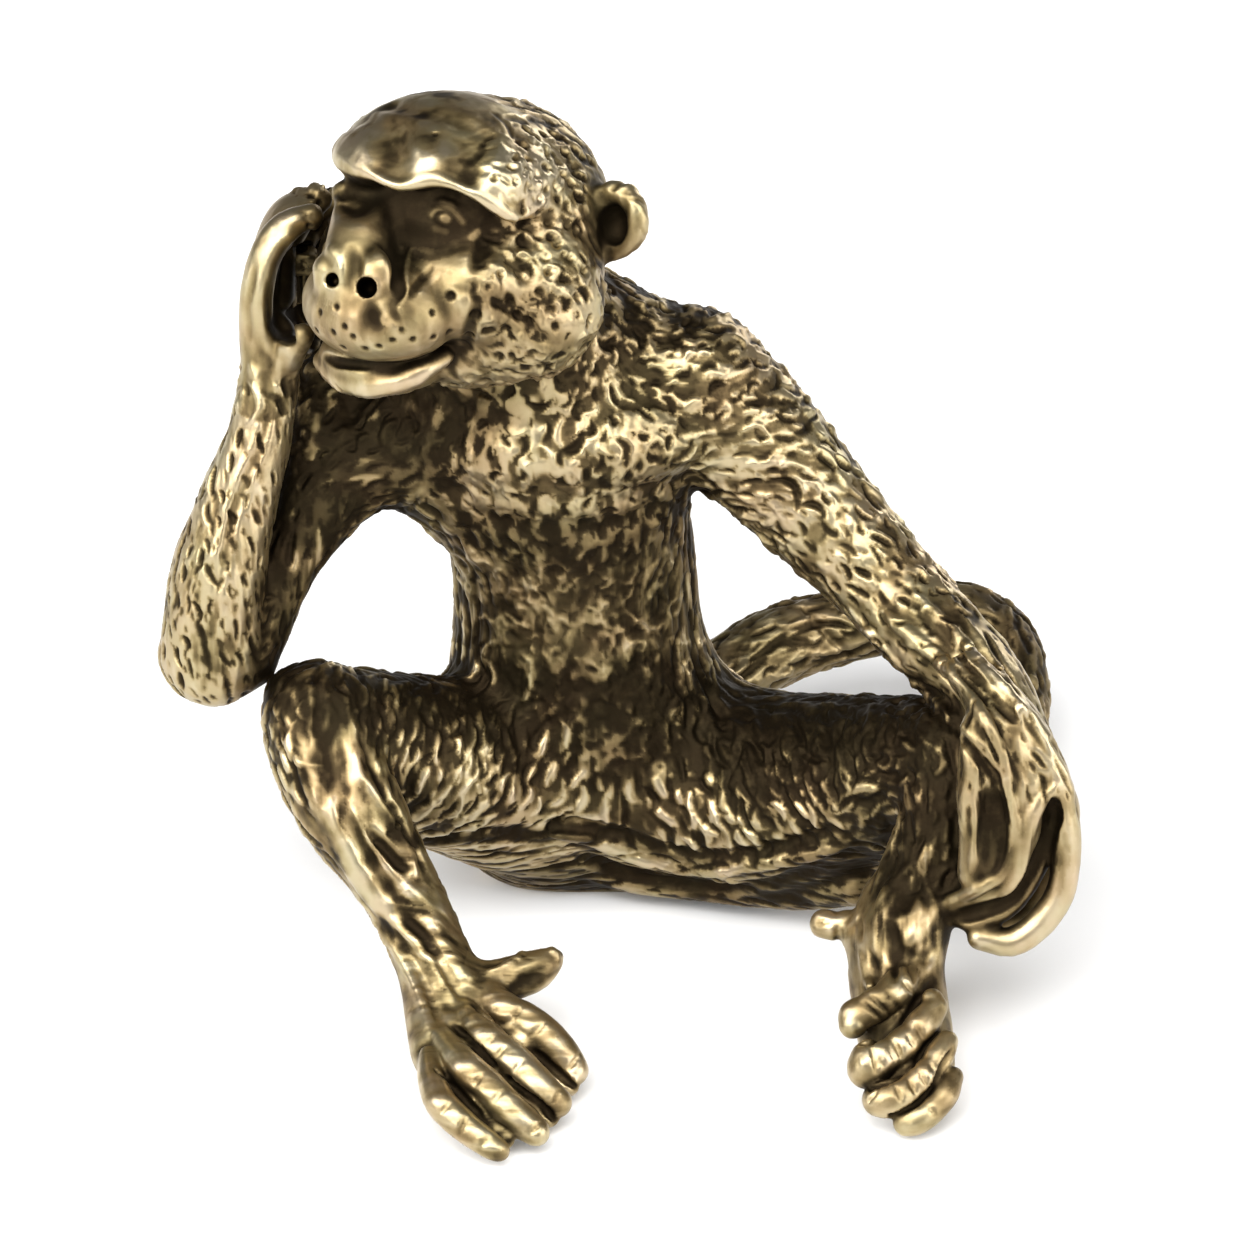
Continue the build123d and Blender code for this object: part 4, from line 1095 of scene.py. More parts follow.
foot_dir = atz(608, 1408, 1.2) - atz(490, 1292, 3.2)
shin_dir = np.array([-6.7, -15.1, 3.1]) - np.array([-9.9, -11.3, 7.4])
for m, d in ((isp["right_leg"] & (V[:, 1] < -11.0) & (V[:, 0] < -4.6), shin_dir), (isp["right_leg"] & (V[:, 1] < -15.6) & (V[:, 0] < -3.6), foot_dir)):
    T[m] = tangent(np.tile(d, (m.sum(), 1)), NRM[m])
T[hem > 0.5] = tangent(np.tile([1.0, 0.0, 0.05], ((hem > 0.5).sum(), 1)), NRM[hem > 0.5])
tuft = tf * FURRY
NBK = [x * 40000 + y * 200 + z for x in (-1, 0, 1) for y in (-1, 0, 1) for z in (-1, 0, 1)]


def scatter(chance, along, across, tries):
    """Vertices kept apart by along and across the fur."""
    pick = rng.choice(NV, min(tries, NV), replace=False)
    pick = pick[(rng.random(len(pick)) < chance[pick]) & (V[pick, 2] > 0.25)]
    ci = np.floor(V[pick] / 0.8).astype(int) + 60
    VX, TX, BX = V[pick].tolist(), T[pick].tolist(), np.cross(NRM[pick], T[pick]).tolist()
    A, C_ = along[pick].tolist(), across[pick].tolist()
    K_ = (ci[:, 0] * 40000 + ci[:, 1] * 200 + ci[:, 2]).tolist()
    cells, out = {}, []
    for i in range(len(pick)):
        x, y, z = VX[i]
        tx, ty, tz = TX[i]
        bx, by, bz = BX[i]
        ia, ic, k = 1 / A[i], 1 / C_[i], K_[i]
        ok = True
        for o in NBK:
            for px, py, pz in cells.get(k + o, ()):
                dx, dy, dz = px - x, py - y, pz - z
                u = (dx * tx + dy * ty + dz * tz) * ia
                v = (dx * bx + dy * by + dz * bz) * ic
                if u * u + v * v < 1.0 and dx * dx + dy * dy + dz * dz < 1.4:
                    ok = False
                    break
            if not ok:
                break
        if ok:
            cells.setdefault(k, []).append((x, y, z))
            out.append(pick[i])
    return np.array(out)


def pairs(points, reach):
    """All (point, vertex) pairs closer than reach, by cells of that size."""
    c = np.floor((V + 50) / reach).astype(np.int64)
    kv = (c[:, 0] * 4096 + c[:, 1]) * 4096 + c[:, 2]
    order = np.argsort(kv, kind="stable")
    ks = kv[order]
    cp = np.floor((points + 50) / reach).astype(np.int64)
    si, vi = [], []
    p32 = points.astype(F)
    for dx in (-1, 0, 1):
        for dy in (-1, 0, 1):
            for dz in (-1, 0, 1):
                k = ((cp[:, 0] + dx) * 4096 + cp[:, 1] + dy) * 4096 + cp[:, 2] + dz
                lo = np.searchsorted(ks, k, "left"); hi = np.searchsorted(ks, k, "right")
                cnt = hi - lo
                tot = cnt.sum()
                if not tot:
                    continue
                sidx = np.repeat(np.arange(len(points)), cnt)
                base = np.repeat(lo - np.r_[0, np.cumsum(cnt)[:-1]], cnt)
                vidx = order[base + np.arange(tot)]
                d2 = ((V32[vidx] - p32[sidx]) ** 2).sum(1)
                m = d2 < reach * reach
                si.append(sidx[m]); vi.append(vidx[m])
    return np.concatenate(si), np.concatenate(vi)


def engrave(sd, length, width, depth, ang, curl, lip_amount=0.22):
    """Depth at each vertex of short curved strokes centred on the vertices sd, and their lips."""
    n = NRM[sd]
    t0 = T[sd]
    b0 = np.cross(n, t0)
    t = t0 * np.cos(ang)[:, None] + b0 * np.sin(ang)[:, None]
    b = np.cross(n, t)
    si, vi = pairs(V[sd], float(np.percentile(length / 2 + width * 0.8, 97)) + 0.05)
    r = V[vi] - V[sd][si]
    u = (r * t[si]).sum(1) / (length[si] / 2)
    w = (r * b[si]).sum(1) - curl[si] * (u * u - 0.3) * length[si] / 2
    facing = (NRM[vi] * n[si]).sum(1)
    taper = np.clip(1 - np.abs(u) ** 2.4, 0, 1) ** 0.5
    ww = width[si] / 2 * (0.25 + 0.75 * taper) * (1 + 0.25 * u)
    x = np.abs(w) / ww
    prof = np.clip(1 - x * x, 0, 1) ** 0.8 * taper
    m = facing > 0.25
    g = np.zeros(NV)
    np.maximum.at(g, vi[m], (prof * depth[si])[m])
    l = np.zeros(NV)
    if lip_amount:
        lip = np.exp(-((x - 1.45) / 0.45) ** 2) * taper * lip_amount
        np.maximum.at(l, vi[m], (lip * depth[si])[m])
    return g, l


def strokes(sd, L, W, Dp, wander, curl, lip=0.22):
    n = len(sd)
    size = np.exp(rng.normal(0, 0.32, n)).clip(0.45, 1.9)
    vary = lambda a: 1 + a * rng.uniform(-1, 1, n)
    return engrave(sd, L * size * vary(0.25), W * np.sqrt(size) * vary(0.3), Dp * np.sqrt(size) * vary(0.4) * (0.3 + 0.7 * FURRY[sd]), wander * rng.normal(0, 1, n) * 0.7, curl * rng.normal(0, 1, n), lip)


loose = np.exp(0.35 * fbm(V, 2.2, 57, 2))
sd = scatter(FURRY ** 0.6, style[:, 3] * loose, style[:, 4] * loose, 60000)
st = style[sd]
g1, l1 = strokes(sd, st[:, 0], st[:, 1], st[:, 2], st[:, 5], st[:, 6])
log("grooves", len(sd))
sd = scatter(tuft, (0.45 + 0.42 * style[:, 0]) * loose, (0.34 + 0.18 * style[:, 0]) * loose, 60000)
st = style[sd]
t1, _ = strokes(sd, st[:, 0] * 0.75 + 0.2, 0.26 + 0.12 * st[:, 0], np.full(len(sd), 0.15), st[:, 5] * 0.9, st[:, 6] * 1.1, 0)
log("locks", len(sd))
sd = scatter(FURRY ** 0.6, 0.62 * loose, 0.46 * loose, 60000)
st = style[sd]
g3, _ = strokes(sd, np.full(len(sd), 0.50), np.full(len(sd), 0.19), np.full(len(sd), 0.085), st[:, 5] * 1.3, st[:, 6] * 2, 0)
log("nicks", len(sd))
# noise drawn out along the fur
ev = V[RD] - V[RSRC]
al = np.abs((ev * T[RSRC]).sum(1)) / (np.linalg.norm(ev, axis=1) + 1e-9)


def drawn(sharp, leak, blur, n):
    w = al ** sharp + leak
    ws = np.add.reduceat(w, RS)
    x = rng.normal(size=NV)
    for _ in range(blur):
        x = 0.4 * x + 0.6 * spread(x)
    for _ in range(n):
        x = 0.3 * x + 0.7 * spread(x, w, ws)
    return x / x.std()


locks = drawn(5, 0.008, 6, 44)
patch = drawn(3, 0.10, 16, 24)
hair = drawn(6, 0.004, 0, 14)
ta = 1.5 * fbm(V, 0.9, 71, 2)
T2 = T * np.cos(ta)[:, None] + np.cross(NRM, T) * np.sin(ta)[:, None]
al = np.abs((ev * T2[RSRC]).sum(1)) / (np.linalg.norm(ev, axis=1) + 1e-9)
curls = drawn(5, 0.01, 3, 24)
log("drawn")

# round pits: whiskers, cheeks, brow
PITS = []
for x, y in ((333, 391), (331, 418), (360, 420), (378, 417), (396, 409), (423, 408), (450, 405), (470, 398), (449, 373), (322, 365), (318, 398), (344, 404), (408, 396), (300, 372), (296, 395)):
    PITS.append((x, y, 0.17, 0.12))
for x, y, r in ((472, 351, .24), (505, 375, .26), (520, 398, .3), (498, 400, .22), (535, 430, .28), (556, 436, .24), (580, 425, .26), (604, 370, .3), (590, 345, .28), (615, 330, .22), (596, 300, .24),
                (612, 282, .25), (630, 300, .22), (648, 318, .24), (640, 352, .26), (655, 380, .22), (600, 318, .2), (545, 395, .28), (560, 375, .26), (520, 340, .24), (538, 322, .2), (625, 258, .22), (600, 255, .2)):
    PITS.append((x, y, r, 0.22))
for x, y, r in ((553, 181, .26), (585, 192, .30), (570, 150, .22), (600, 165, .24), (530, 196, .2), (610, 205, .28), (635, 180, .24), (516, 150, .16), (452, 138, .14), (590, 222, .2),
                (585, 148, .2), (603, 182, .18), (594, 206, .2), (571, 170, .16), (621, 157, .22), (558, 200, .18), (612, 222, .18), (630, 202, .22), (577, 210, .16), (568, 190, .15), (620, 190, .16), (645, 165, .2), (648, 210, .2)):
    PITS.append((x, y, r, 0.16))
pc, pn, pok = front([(x, y) for x, y, _, _ in PITS])
g2 = np.zeros(NV)
for (x, y, r, dep), c, ok in zip(PITS, pc, pok):
    if ok:
        d = np.linalg.norm(V - c, axis=1) / r
        g2 = np.maximum(g2, np.clip(1 - d * d, 0, 1) * dep)

clump = fbm(V, 2.6, 11) * 0.11 * FURRY + fbm(V, 1.0, 19) * 0.03 * FURRY + fbm(V, 1.9, 23, 2) * 0.05 * bare
squeeze = np.array([1.0, 1.0, 0.78])
TURN = np.array([[0.77, 0.29, 0.57], [-0.41, 0.90, 0.10], [-0.49, -0.31, 0.81]])
worm = ramp(1 - np.abs(lattice((V * squeeze) @ TURN, 0.74, 91) + 0.45 * lattice(V @ TURN, 0.36, 92)) / 0.34, 0.1, 0.7) * ramp(fbm(V @ TURN, 0.9, 95, 2), -0.30, 0.15)
squig = np.clip(0.85 * belly + 0.25 * chest, 0, 1)
worn = np.tanh(1.1 * patch + 0.2) * sb
sc = np.clip(1.1 * belly + 0.6 * chest + 0.7 * ruff + 0.5 * shoulder + 0.35 * (low | legs), 0, 1.1) * (1 - np.clip(hem, 0, 1))
curly = np.tanh(1.3 * curls + 0.1) * sc
fleck = np.tanh(1.2 * locks + 0.2) * sa
height = clump + (fleck * 0.032 + worn * 0.036 + curly * 0.028 + 0.075 * worm * squig) * FURRY - 0.60 * g1 + 0.5 * l1 - g2 - 0.5 * g3 + 0.6 * t1 + hair * (0.006 * FURRY + 0.002) + locks * (0.008 + 0.012 * legs) * (1 - 0.6 * legs * (V[:, 2] < 4.6)) * bare + fbm(V, 0.45, 31, 2) * 0.008
height += 0.5 * (spread(height) - height)
height *= ramp(V[:, 2], 0.0, 0.35)
D_V = V + NRM * height[:, None]
D_V[:, 2] = np.where(V[:, 2] <= 0.03, V[:, 2], np.maximum(D_V[:, 2], 0.0))

# ---------------------------------------------------------------- tone
# occlusion from the coarse field of the whole figure
tot = total.reshape(NB)


def coarse_at(p):
    q = (p - (LO - CELL * 0.5)) / (B * CELL) - 0.5
    i = np.clip(np.floor(q).astype(int), 0, np.array(tot.shape) - 2)
    f = np.clip(q - i, 0, 1)
    c = 0
    for dx in (0, 1):
        for dy in (0, 1):
            for dz in (0, 1):
                c = c + tot[i[:, 0] + dx, i[:, 1] + dy, i[:, 2] + dz] * (f[:, 0] if dx else 1 - f[:, 0]) * (f[:, 1] if dy else 1 - f[:, 1]) * (f[:, 2] if dz else 1 - f[:, 2])
    return c


occ = np.zeros(NV)
for t, wgt in ((0.7, 0.20), (1.4, 0.28), (2.4, 0.28), (4.0, 0.24)):
    occ += wgt * np.clip(1 - coarse_at(V + NRM * t) / t, 0, 1.2)
occ = np.clip(occ, 0, 1.2)
DN = vertex_normals(D_V, Q)
sm = D_V.copy()
for _ in range(5):
    sm += 0.6 * (spread(sm) - sm)
fine = ((D_V - sm) * DN).sum(1)
for _ in range(28):
    sm += 0.8 * (spread(sm) - sm)
broad = ((D_V - sm) * DN).sum(1)
log("relief")


def rank(x, m):
    """Where each value stands, 0 to 1, among those of the mask."""
    q = np.quantile(x[m], np.linspace(0, 1, 65))
    return np.interp(x, q, np.linspace(0, 1, 65))


R_ = rank(1.2 * broad + 0.07 * fleck + 0.075 * worn + 0.065 * curly + 0.012 * hair - 0.6 * g1 - 1.2 * g3 + 0.5 * t1, FURRY > 0.6)
L_ = np.clip(lift + 0.14 * fbm(V, 1.9, 61, 2), -0.55, 0.4)
HARD = 0.18 * np.clip(chest + shoulder + ruff + 0.6 * isp["right_arm"] + 0.5 * isp["left_arm"] + 0.5 * (low | legs), 0, 1)
# fur tone from its relief, darker in the grooves; proud locks lighter except where the fur faces up, which keeps the
# painted shade on upward faces
tone_f = 0.13 + 0.62 * ramp(R_, 0.14 + HARD - L_, 0.86 - HARD - L_) - 0.30 * np.clip(g1 / 0.15, 0, 1) - 0.14 * np.clip(g3 / 0.08, 0, 1) + 0.28 * np.clip(t1 / 0.11, 0, 1) * ramp(tf, 0.4, 0.9) * (1 - ramp(NRM[:, 2], 0.3, 0.65))
tone_b = 0.52 - 0.02 * isp['right_leg'] + np.clip(broad / (0.09 + 0.05 * legs * (V[:, 2] < 4.6)), -1.3, 1) * 0.32 + 0.07 * legs * (V[:, 2] < 4.6) + 0.11 * fbm(V, 1.7, 67, 2) + np.clip(fine / 0.02, -1, 1) * 0.06 - 0.7 * np.clip(g2 / 0.12, 0, 1) + 0.05 * locks
m_ = 0.62 * belly
tone_f = tone_f * (1 - m_) + m_ * (0.18 + 0.68 * worm + 0.10 * fbm(V @ TURN, 0.5, 93, 2) - 0.15 * np.clip(g1 / 0.1, 0, 1))
tone_f += 0.50 * ramp(locks, 1.35, 2.1) * np.clip(0.8 * (low | legs) + 0.6 * belly + 0.6 * flank + 0.4 * isp["right_arm"], 0, 1) * (1 - np.clip(hem, 0, 1))
scalp = isp["head"] * ramp(hd[:, 2], 0.4, 1.2) * ramp(-hd[:, 0], -0.6, 0.8)
# the crown streaked and lighter overall, and darker towards its top, painted shade
tone_b += scalp * (0.36 * np.clip(fbm(V * np.array([1.0, 1.0, 1.7]), 1.0, 83, 3) / 0.28, -1, 1) + 0.12 - 0.16 * ramp(hd[:, 2], 1.8, 3.0))
tone_b -= 0.07 * isp["head"] * (hd[:, 2] < 0) + 0.03
tone_b += (0.09 * locks + 0.05 * hair + 0.16 * np.clip(fbm(V, 0.8, 87, 3) / 0.3, -1, 1)) * legs
feet = legs * (V[:, 2] < 4.6)
tone_b = np.where(feet * isp["left_leg"] > 0.5, 0.47 + 0.66 * (tone_b - 0.55), tone_b)
tone_b = np.where(feet * isp["right_leg"] > 0.5, 0.64 + 0.80 * (tone_b - 0.55), tone_b)
tone_f = np.where(isp["tail"] > 0.5, 0.45 + 0.68 * (tone_f - 0.45), tone_f)
tone = tone_f * FURRY + tone_b * bare
# darker where the rest of the figure closes round the surface: patina in the hollows, and painted shade under and
# between parts
tone -= 0.55 * np.clip(occ - 0.18, 0, 1)
tone += 0.07 * fbm(V, 1.6, 41)
# darker and lighter patches placed as seen in the main view: x, y, radius in mm, amount. Some are the dark finish left
# in hollows or rubbed away; many are painted shade (eye sockets, nostrils, lower belly, thigh tops, underside, under
# the chest, the shin under the left hand) and painted highlights (the brow)
PATINA_AND_PAINTED_LIGHT = [
    # painted shade on the lower belly and the tops of the thighs; on the next line, painted shadow on the left shin
    # under the hand
    (640, 905, 2.6, -.46), (560, 900, 2.4, -.34), (720, 900, 2.6, -.46), (690, 950, 2.0, -.30), (880, 925, 3.4, -.42), (980, 930, 3.4, -.46), (1070, 950, 3.0, -.46), (820, 910, 2.6, -.44), (440, 890, 2.2, -.22), (1050, 1130, .8, -.2),
    (1080, 1050, 2.2, -.36), (1020, 1018, 1.4, -.36), (1040, 1040, 1.4, -.40), (1020, 1090, 2.0, -.30), (1110, 1120, 1.6, -.20),
    (380, 515, 2.2, -.45), (330, 575, 2.0, -.30), (410, 545, 1.8, -.24), (285, 650, 1.4, -.28), (300, 700, 1.2, -.2), (470, 520, 1.4, -.2), (330, 545, 1.8, -.36), (450, 500, 2.0, -.34), (300, 600, 1.6, -.30), (520, 490, 1.6, -.24), (700, 350, 2.2, -.26),
    # painted shadow under the chest
    (560, 668, 1.8, -.26), (640, 680, 1.8, -.26), (720, 660, 1.8, -.26), (520, 760, 2.0, -.12), (700, 760, 2.0, -.12), (760, 640, 1.8, -.2),
    (240, 640, 1.4, -.32), (228, 720, 1.4, -.32), (236, 800, 1.4, -.30), (250, 860, 1.4, -.26),
    # painted shade along the underside of the thighs
    (520, 1115, 2.0, -.30), (620, 1130, 2.0, -.36), (720, 1145, 2.0, -.40), (820, 1150, 2.0, -.40), (920, 1140, 2.0, -.40), (1000, 1130, 2.0, -.30), (960, 1100, 1.6, -.2),
    # painted shade in the eye sockets, under the brow and in the nostrils; lighter spots on the cheek below the eye
    (450, 236, 1.6, -.50), (484, 248, 1.0, -.5), (430, 240, 1.1, -.5), (462, 242, .8, -.55), (332, 212, .7, -.4), (345, 214, 1.2, -.34), (502, 266, .9, -.34), (410, 262, .8, -.35), (442, 294, .9, .16), (470, 292, .8, .12), (446, 314, .9, .22), (350, 262, 1.3, -.10), (410, 235, 1.2, -.28), (370, 384, .8, -.42), (376, 396, .5, -.3), (412, 372, .5, -.3), (500, 345, .7, -.2), (575, 370, 1.2, -.2),
    (255, 330, 1.2, -.5), (250, 390, 1.0, -.4), (700, 252, 1.2, -.3), (560, 395, 1.2, -.12),
    # the top of the cap darker, painted shade; the brow patches lighter, painted highlights
    (450, 86, 2.4, -.16), (560, 90, 2.2, -.16), (370, 104, 1.6, -.12), (400, 150, .9, -.16), (496, 158, .9, -.16), (470, 128, 1.4, -.1), (338, 154, .8, .50), (356, 162, .7, .45), (438, 168, .7, .50), (430, 182, .6, .4), (548, 176, .9, .45), (560, 198, 1.0, .42), (590, 190, .8, .3), (588, 218, .9, .3), (392, 172, .5, -.3), (490, 186, .6, -.3), (476, 178, .5, -.2), (790, 370, 1.6, -.16), (860, 400, 1.4, -.1),
    (1240, 800, 2.2, -.26), (1180, 780, 1.8, -.2), (1170, 940, 1.4, -.16), (1178, 1060, 1.0, -.3), (1246, 1120, .9, -.3), (1140, 980, 1.2, -.2),
    (580, 1245, 1.2, -.2), (500, 1240, 1.2, -.16), (930, 740, 2.0, -.12),
    (600, 570, 2.4, .12), (500, 580, 1.8, .08), (660, 520, 1.6, .10), (820, 430, 1.6, .16), (960, 640, 2.6, .12), (800, 570, 1.8, .14), (880, 540, 2.0, .10),
    (140, 740, 2.6, .12), (170, 600, 2.0, .14), (200, 480, 1.6, .14), (110, 850, 1.6, .10),
    # the top of the right knee and the nostrils darker, painted shade; more painted highlights on the brow
    (330, 878, 1.7, -.28), (385, 900, 1.4, -.28), (285, 884, 1.2, -.16), (268, 408, .7, -.3), (385, 355, 1.6, -.16), (368, 378, .7, -.25), (400, 400, 1.8, .04), (300, 350, 1.2, .10), (450, 180, 1.4, .16), (345, 155, 1.2, .26), (545, 200, 1.8, .20), (600, 170, 1.6, .14), (640, 350, 1.8, .06),
    (480, 990, 1.8, .12), (600, 980, 2.0, .14), (700, 1000, 1.8, .08), (900, 1010, 1.8, .12), (980, 1020, 1.6, .12),
    (340, 940, 1.6, .10), (400, 1180, 2.0, .06), (560, 1340, 2.2, .12), (1070, 1340, 2.0, .12), (1116, 1168, .9, .24), (1046, 1186, .9, -.16), (1062, 1222, .8, -.14), (1084, 1246, .7, -.26), (1018, 1196, .4, -.2), (1280, 1080, 1.2, .16), (1225, 930, 1.6, .08), (990, 1182, 1.0, .2),
]
LINES = [
    # under the belly: the crease and the underside darker, painted shade; the edge between them lighter, painted
    # highlight
    ([(428, 1072), (530, 1062), (600, 1062), (660, 1066)], .42, -.5), ([(650, 1056), (700, 1066), (760, 1086), (830, 1092), (900, 1082), (990, 1060)], .34, -.5),
    ([(660, 1100), (720, 1120), (800, 1132), (880, 1130), (960, 1112), (1010, 1100)], .5, -.5),
    ([(640, 1066), (690, 1084), (750, 1104), (810, 1112), (860, 1108), (910, 1098), (990, 1078)], .34, .5), ([(420, 1092), (500, 1080), (580, 1082), (640, 1088)], .30, .35), ([(520, 1116), (600, 1130), (680, 1142)], .3, .2),
    # left hand, the shin behind it, and the foot: painted shadow in the hollow of the hand and on the shin behind it, a
    # painted highlight along the hand's outer band, darker gaps and folds on the foot
    ([(1269, 1020), (1262, 1096), (1216, 1156), (1150, 1176)], .75, -.5), ([(1186, 1030), (1192, 1078), (1180, 1110)], .8, -.4),
    ([(1092, 950), (1084, 1020), (1090, 1080), (1074, 1130)], 1.7, -.5), ([(1124, 1000), (1120, 1080), (1116, 1130)], 1.2, -.5),
    ([(1226, 880), (1262, 940), (1290, 1010), (1300, 1080), (1290, 1140), (1240, 1196), (1170, 1200)], .6, .2),
    (foot6((700, 560), (650, 620), (610, 690), (560, 740), (500, 772), (436, 790)), .36, -.4), (foot6((436, 972), (510, 950), (580, 920), (632, 872), (670, 810), (720, 760)), .26, -.34),
    (foot6((520, 1088), (600, 1052), (660, 1010), (706, 960), (740, 890), (776, 820)), .26, -.34), (foot6((760, 720), (776, 800), (796, 900), (780, 980)), .30, -.25), (foot6((560, 300), (640, 200), (740, 110)), .5, -.4),
    # right foot: darker gaps between the toes, and painted shadow under the big toe
    (foot5((872, 650), (960, 718), (1050, 792), (1130, 856), (1210, 922), (1252, 962)), .28, -.42), (foot5((796, 730), (870, 800), (950, 884), (1050, 972), (1130, 1032), (1180, 1090)), .28, -.42),
    (foot5((726, 890), (790, 952), (860, 1030), (940, 1108), (1010, 1170)), .28, -.42), (foot5((1020, 600), (1090, 560), (1140, 520)), .6, -.4),
    (foot5((1080, 890), (1130, 950)), .22, -.18), (foot5((980, 1000), (1040, 1060)), .22, -.18), (foot5((1180, 760), (1230, 830)), .2, -.1),
    # face: the edge of the muzzle, the patch behind it, the sockets, the gap under the brow; the sockets and the gap
    # under the brow are painted shade
    ([(522, 256), (517, 285), (508, 318)], .50, -.18), ([(506, 340), (500, 372), (490, 404), (484, 420)], .40, -.16), ([(525, 352), (545, 374), (580, 396), (620, 418)], .62, -.34),
    # right shin
    ([(303, 915), (305, 950), (318, 985)], .7, -.12), ([(345, 1005), (360, 1050), (372, 1090)], .45, -.2), ([(334, 912), (373, 1000), (440, 1120)], .28, -.35), ([(262, 960), (290, 1030), (336, 1110)], .4, -.22),
    ([(420, 1190), (450, 1250), (470, 1290)], .4, -.25), ([(384, 1120), (410, 1160), (440, 1200)], .35, -.2), ([(400, 1250), (412, 1300), (430, 1350)], .5, -.2),
    # more of the face: darker lines beside the nose and the mouth line; painted shade in the gap under the brow;
    # painted highlights along the brow rim and on the lips
    ([(398, 282), (402, 320), (410, 350), (400, 375)], .42, -.24), ([(384, 214), (402, 224), (420, 220), (450, 214), (480, 218), (510, 236)], .45, -.35),
    ([(322, 182), (350, 198), (378, 212)], .4, -.35), ([(356, 362), (370, 385), (378, 402)], .55, -.32),
    ([(276, 420), (300, 434), (345, 444), (400, 442), (450, 430), (476, 420)], .3, -.3),
    ([(312, 160), (345, 180), (380, 200), (403, 208), (444, 198), (473, 202), (502, 217), (548, 248), (580, 246)], .22, .30),
    ([(284, 442), (300, 458), (340, 474), (392, 472), (440, 456), (470, 436)], .4, .2), ([(286, 405), (330, 428), (400, 428), (450, 418)], .35, .16),
    # under the arm and along the arm, and under the chest a band of painted shadow with a lighter band above it
    ([(256, 640), (238, 720), (240, 800), (252, 860)], .7, -.35), ([(1006, 780), (1084, 870), (1160, 950), (1190, 992)], .22, -.3), ([(1000, 762), (1086, 856), (1168, 938), (1204, 984)], .2, .25),
    ([(1090, 742), (1170, 826), (1236, 902)], .2, .25), ([(500, 660), (560, 670), (620, 672), (690, 667), (745, 646)], 1.0, -.40), ([(520, 622), (600, 630), (680, 628), (740, 612)], .5, .2),
]
for pts, r, amt in LINES:
    PATINA_AND_PAINTED_LIGHT += [(x, y, r, amt) for x, y in curve2(pts, max(6.0, r * 22))]
rc_, rn_, rok = front([(x, y) for x, y, _, _ in PATINA_AND_PAINTED_LIGHT])
shade = np.zeros(NV)
for (x, y, r, amt), c, ok in zip(PATINA_AND_PAINTED_LIGHT, rc_, rok):
    if ok:
        s = np.where((np.abs(V - c) < r * 1.4).all(1))[0]
        d = np.linalg.norm(V[s] - c, axis=1) / r
        t = np.clip((1.35 - d) / 0.9, 0, 1)
        t = t * t * (3 - 2 * t) * amt
        shade[s] = np.where(t < 0, np.minimum(shade[s], t), np.where(shade[s] >= 0, np.maximum(shade[s], t), shade[s]))
# add the patina patches, painted shade and painted highlights listed above
tone += shade
tone += 0.10 * (1 - np.clip(tone, 0, 1)) * np.clip(isp["head"] * (1 - ramp(-hd[:, 2] + 0.2, 0, 0.6) * 0.2) + isp["right_arm"] + isp["left_arm"] + feet + 0.6 * isp["tail"], 0, 1)
back_arm = np.maximum.reduce([capsule((-8.6, -1.2, 22.1), (-11.2, -2.2, 20.7), 2.9), capsule((-11.2, -2.2, 20.7), (-13.3, -3.2, 18.3), 2.3), capsule((-13.3, -3.2, 18.3), (-14.6, -4.1, 16.3), 2.0), 0.8 * capsule((-7.0, -3.2, 23.6), (-10.5, -3.0, 21.5), 2.4)])
tone -= (0.40 - 0.36 * ramp(locks, 1.1, 1.9)) * back_arm * (isp["right_arm"] + isp["torso"])
# painted highlights: glints in the eyes and bright lines on the face
GLINTS = [
    ([(464, 248), (467, 250)], .18, .46), ([(448, 244), (456, 236), (468, 235), (480, 243), (488, 254)], .12, .29), ([(452, 262), (466, 266)], .12, .20),
    ([(484, 306), (481, 320), (476, 334)], .15, .40), ([(320, 205), (328, 207)], .15, .46), ([(338, 228), (346, 232)], .20, .32), ([(500, 274), (508, 267)], .16, .45),
    ([(378, 360), (386, 372), (384, 384), (396, 392)], .13, .62), ([(432, 348), (444, 334), (456, 324)], .14, .62), ([(318, 300), (326, 312), (322, 340)], .16, .66),
]
for pts, r, val in GLINTS:
    gp, gn, gok = front(curve2(pts, 4.0))
    for c, ok in zip(gp, gok):
        if ok:
            s = np.where((np.abs(V - c) < r * 1.6).all(1))[0]
            t = ramp(1.6 - np.linalg.norm(V[s] - c, axis=1) / r, 0, 1)
            tone[s] = np.maximum(tone[s], t * val)
tone = np.clip(tone, 0, 1)
tone += 0.3 * (spread(tone) - tone)
log("tone", np.percentile(tone, [5, 25, 50, 75, 95]))

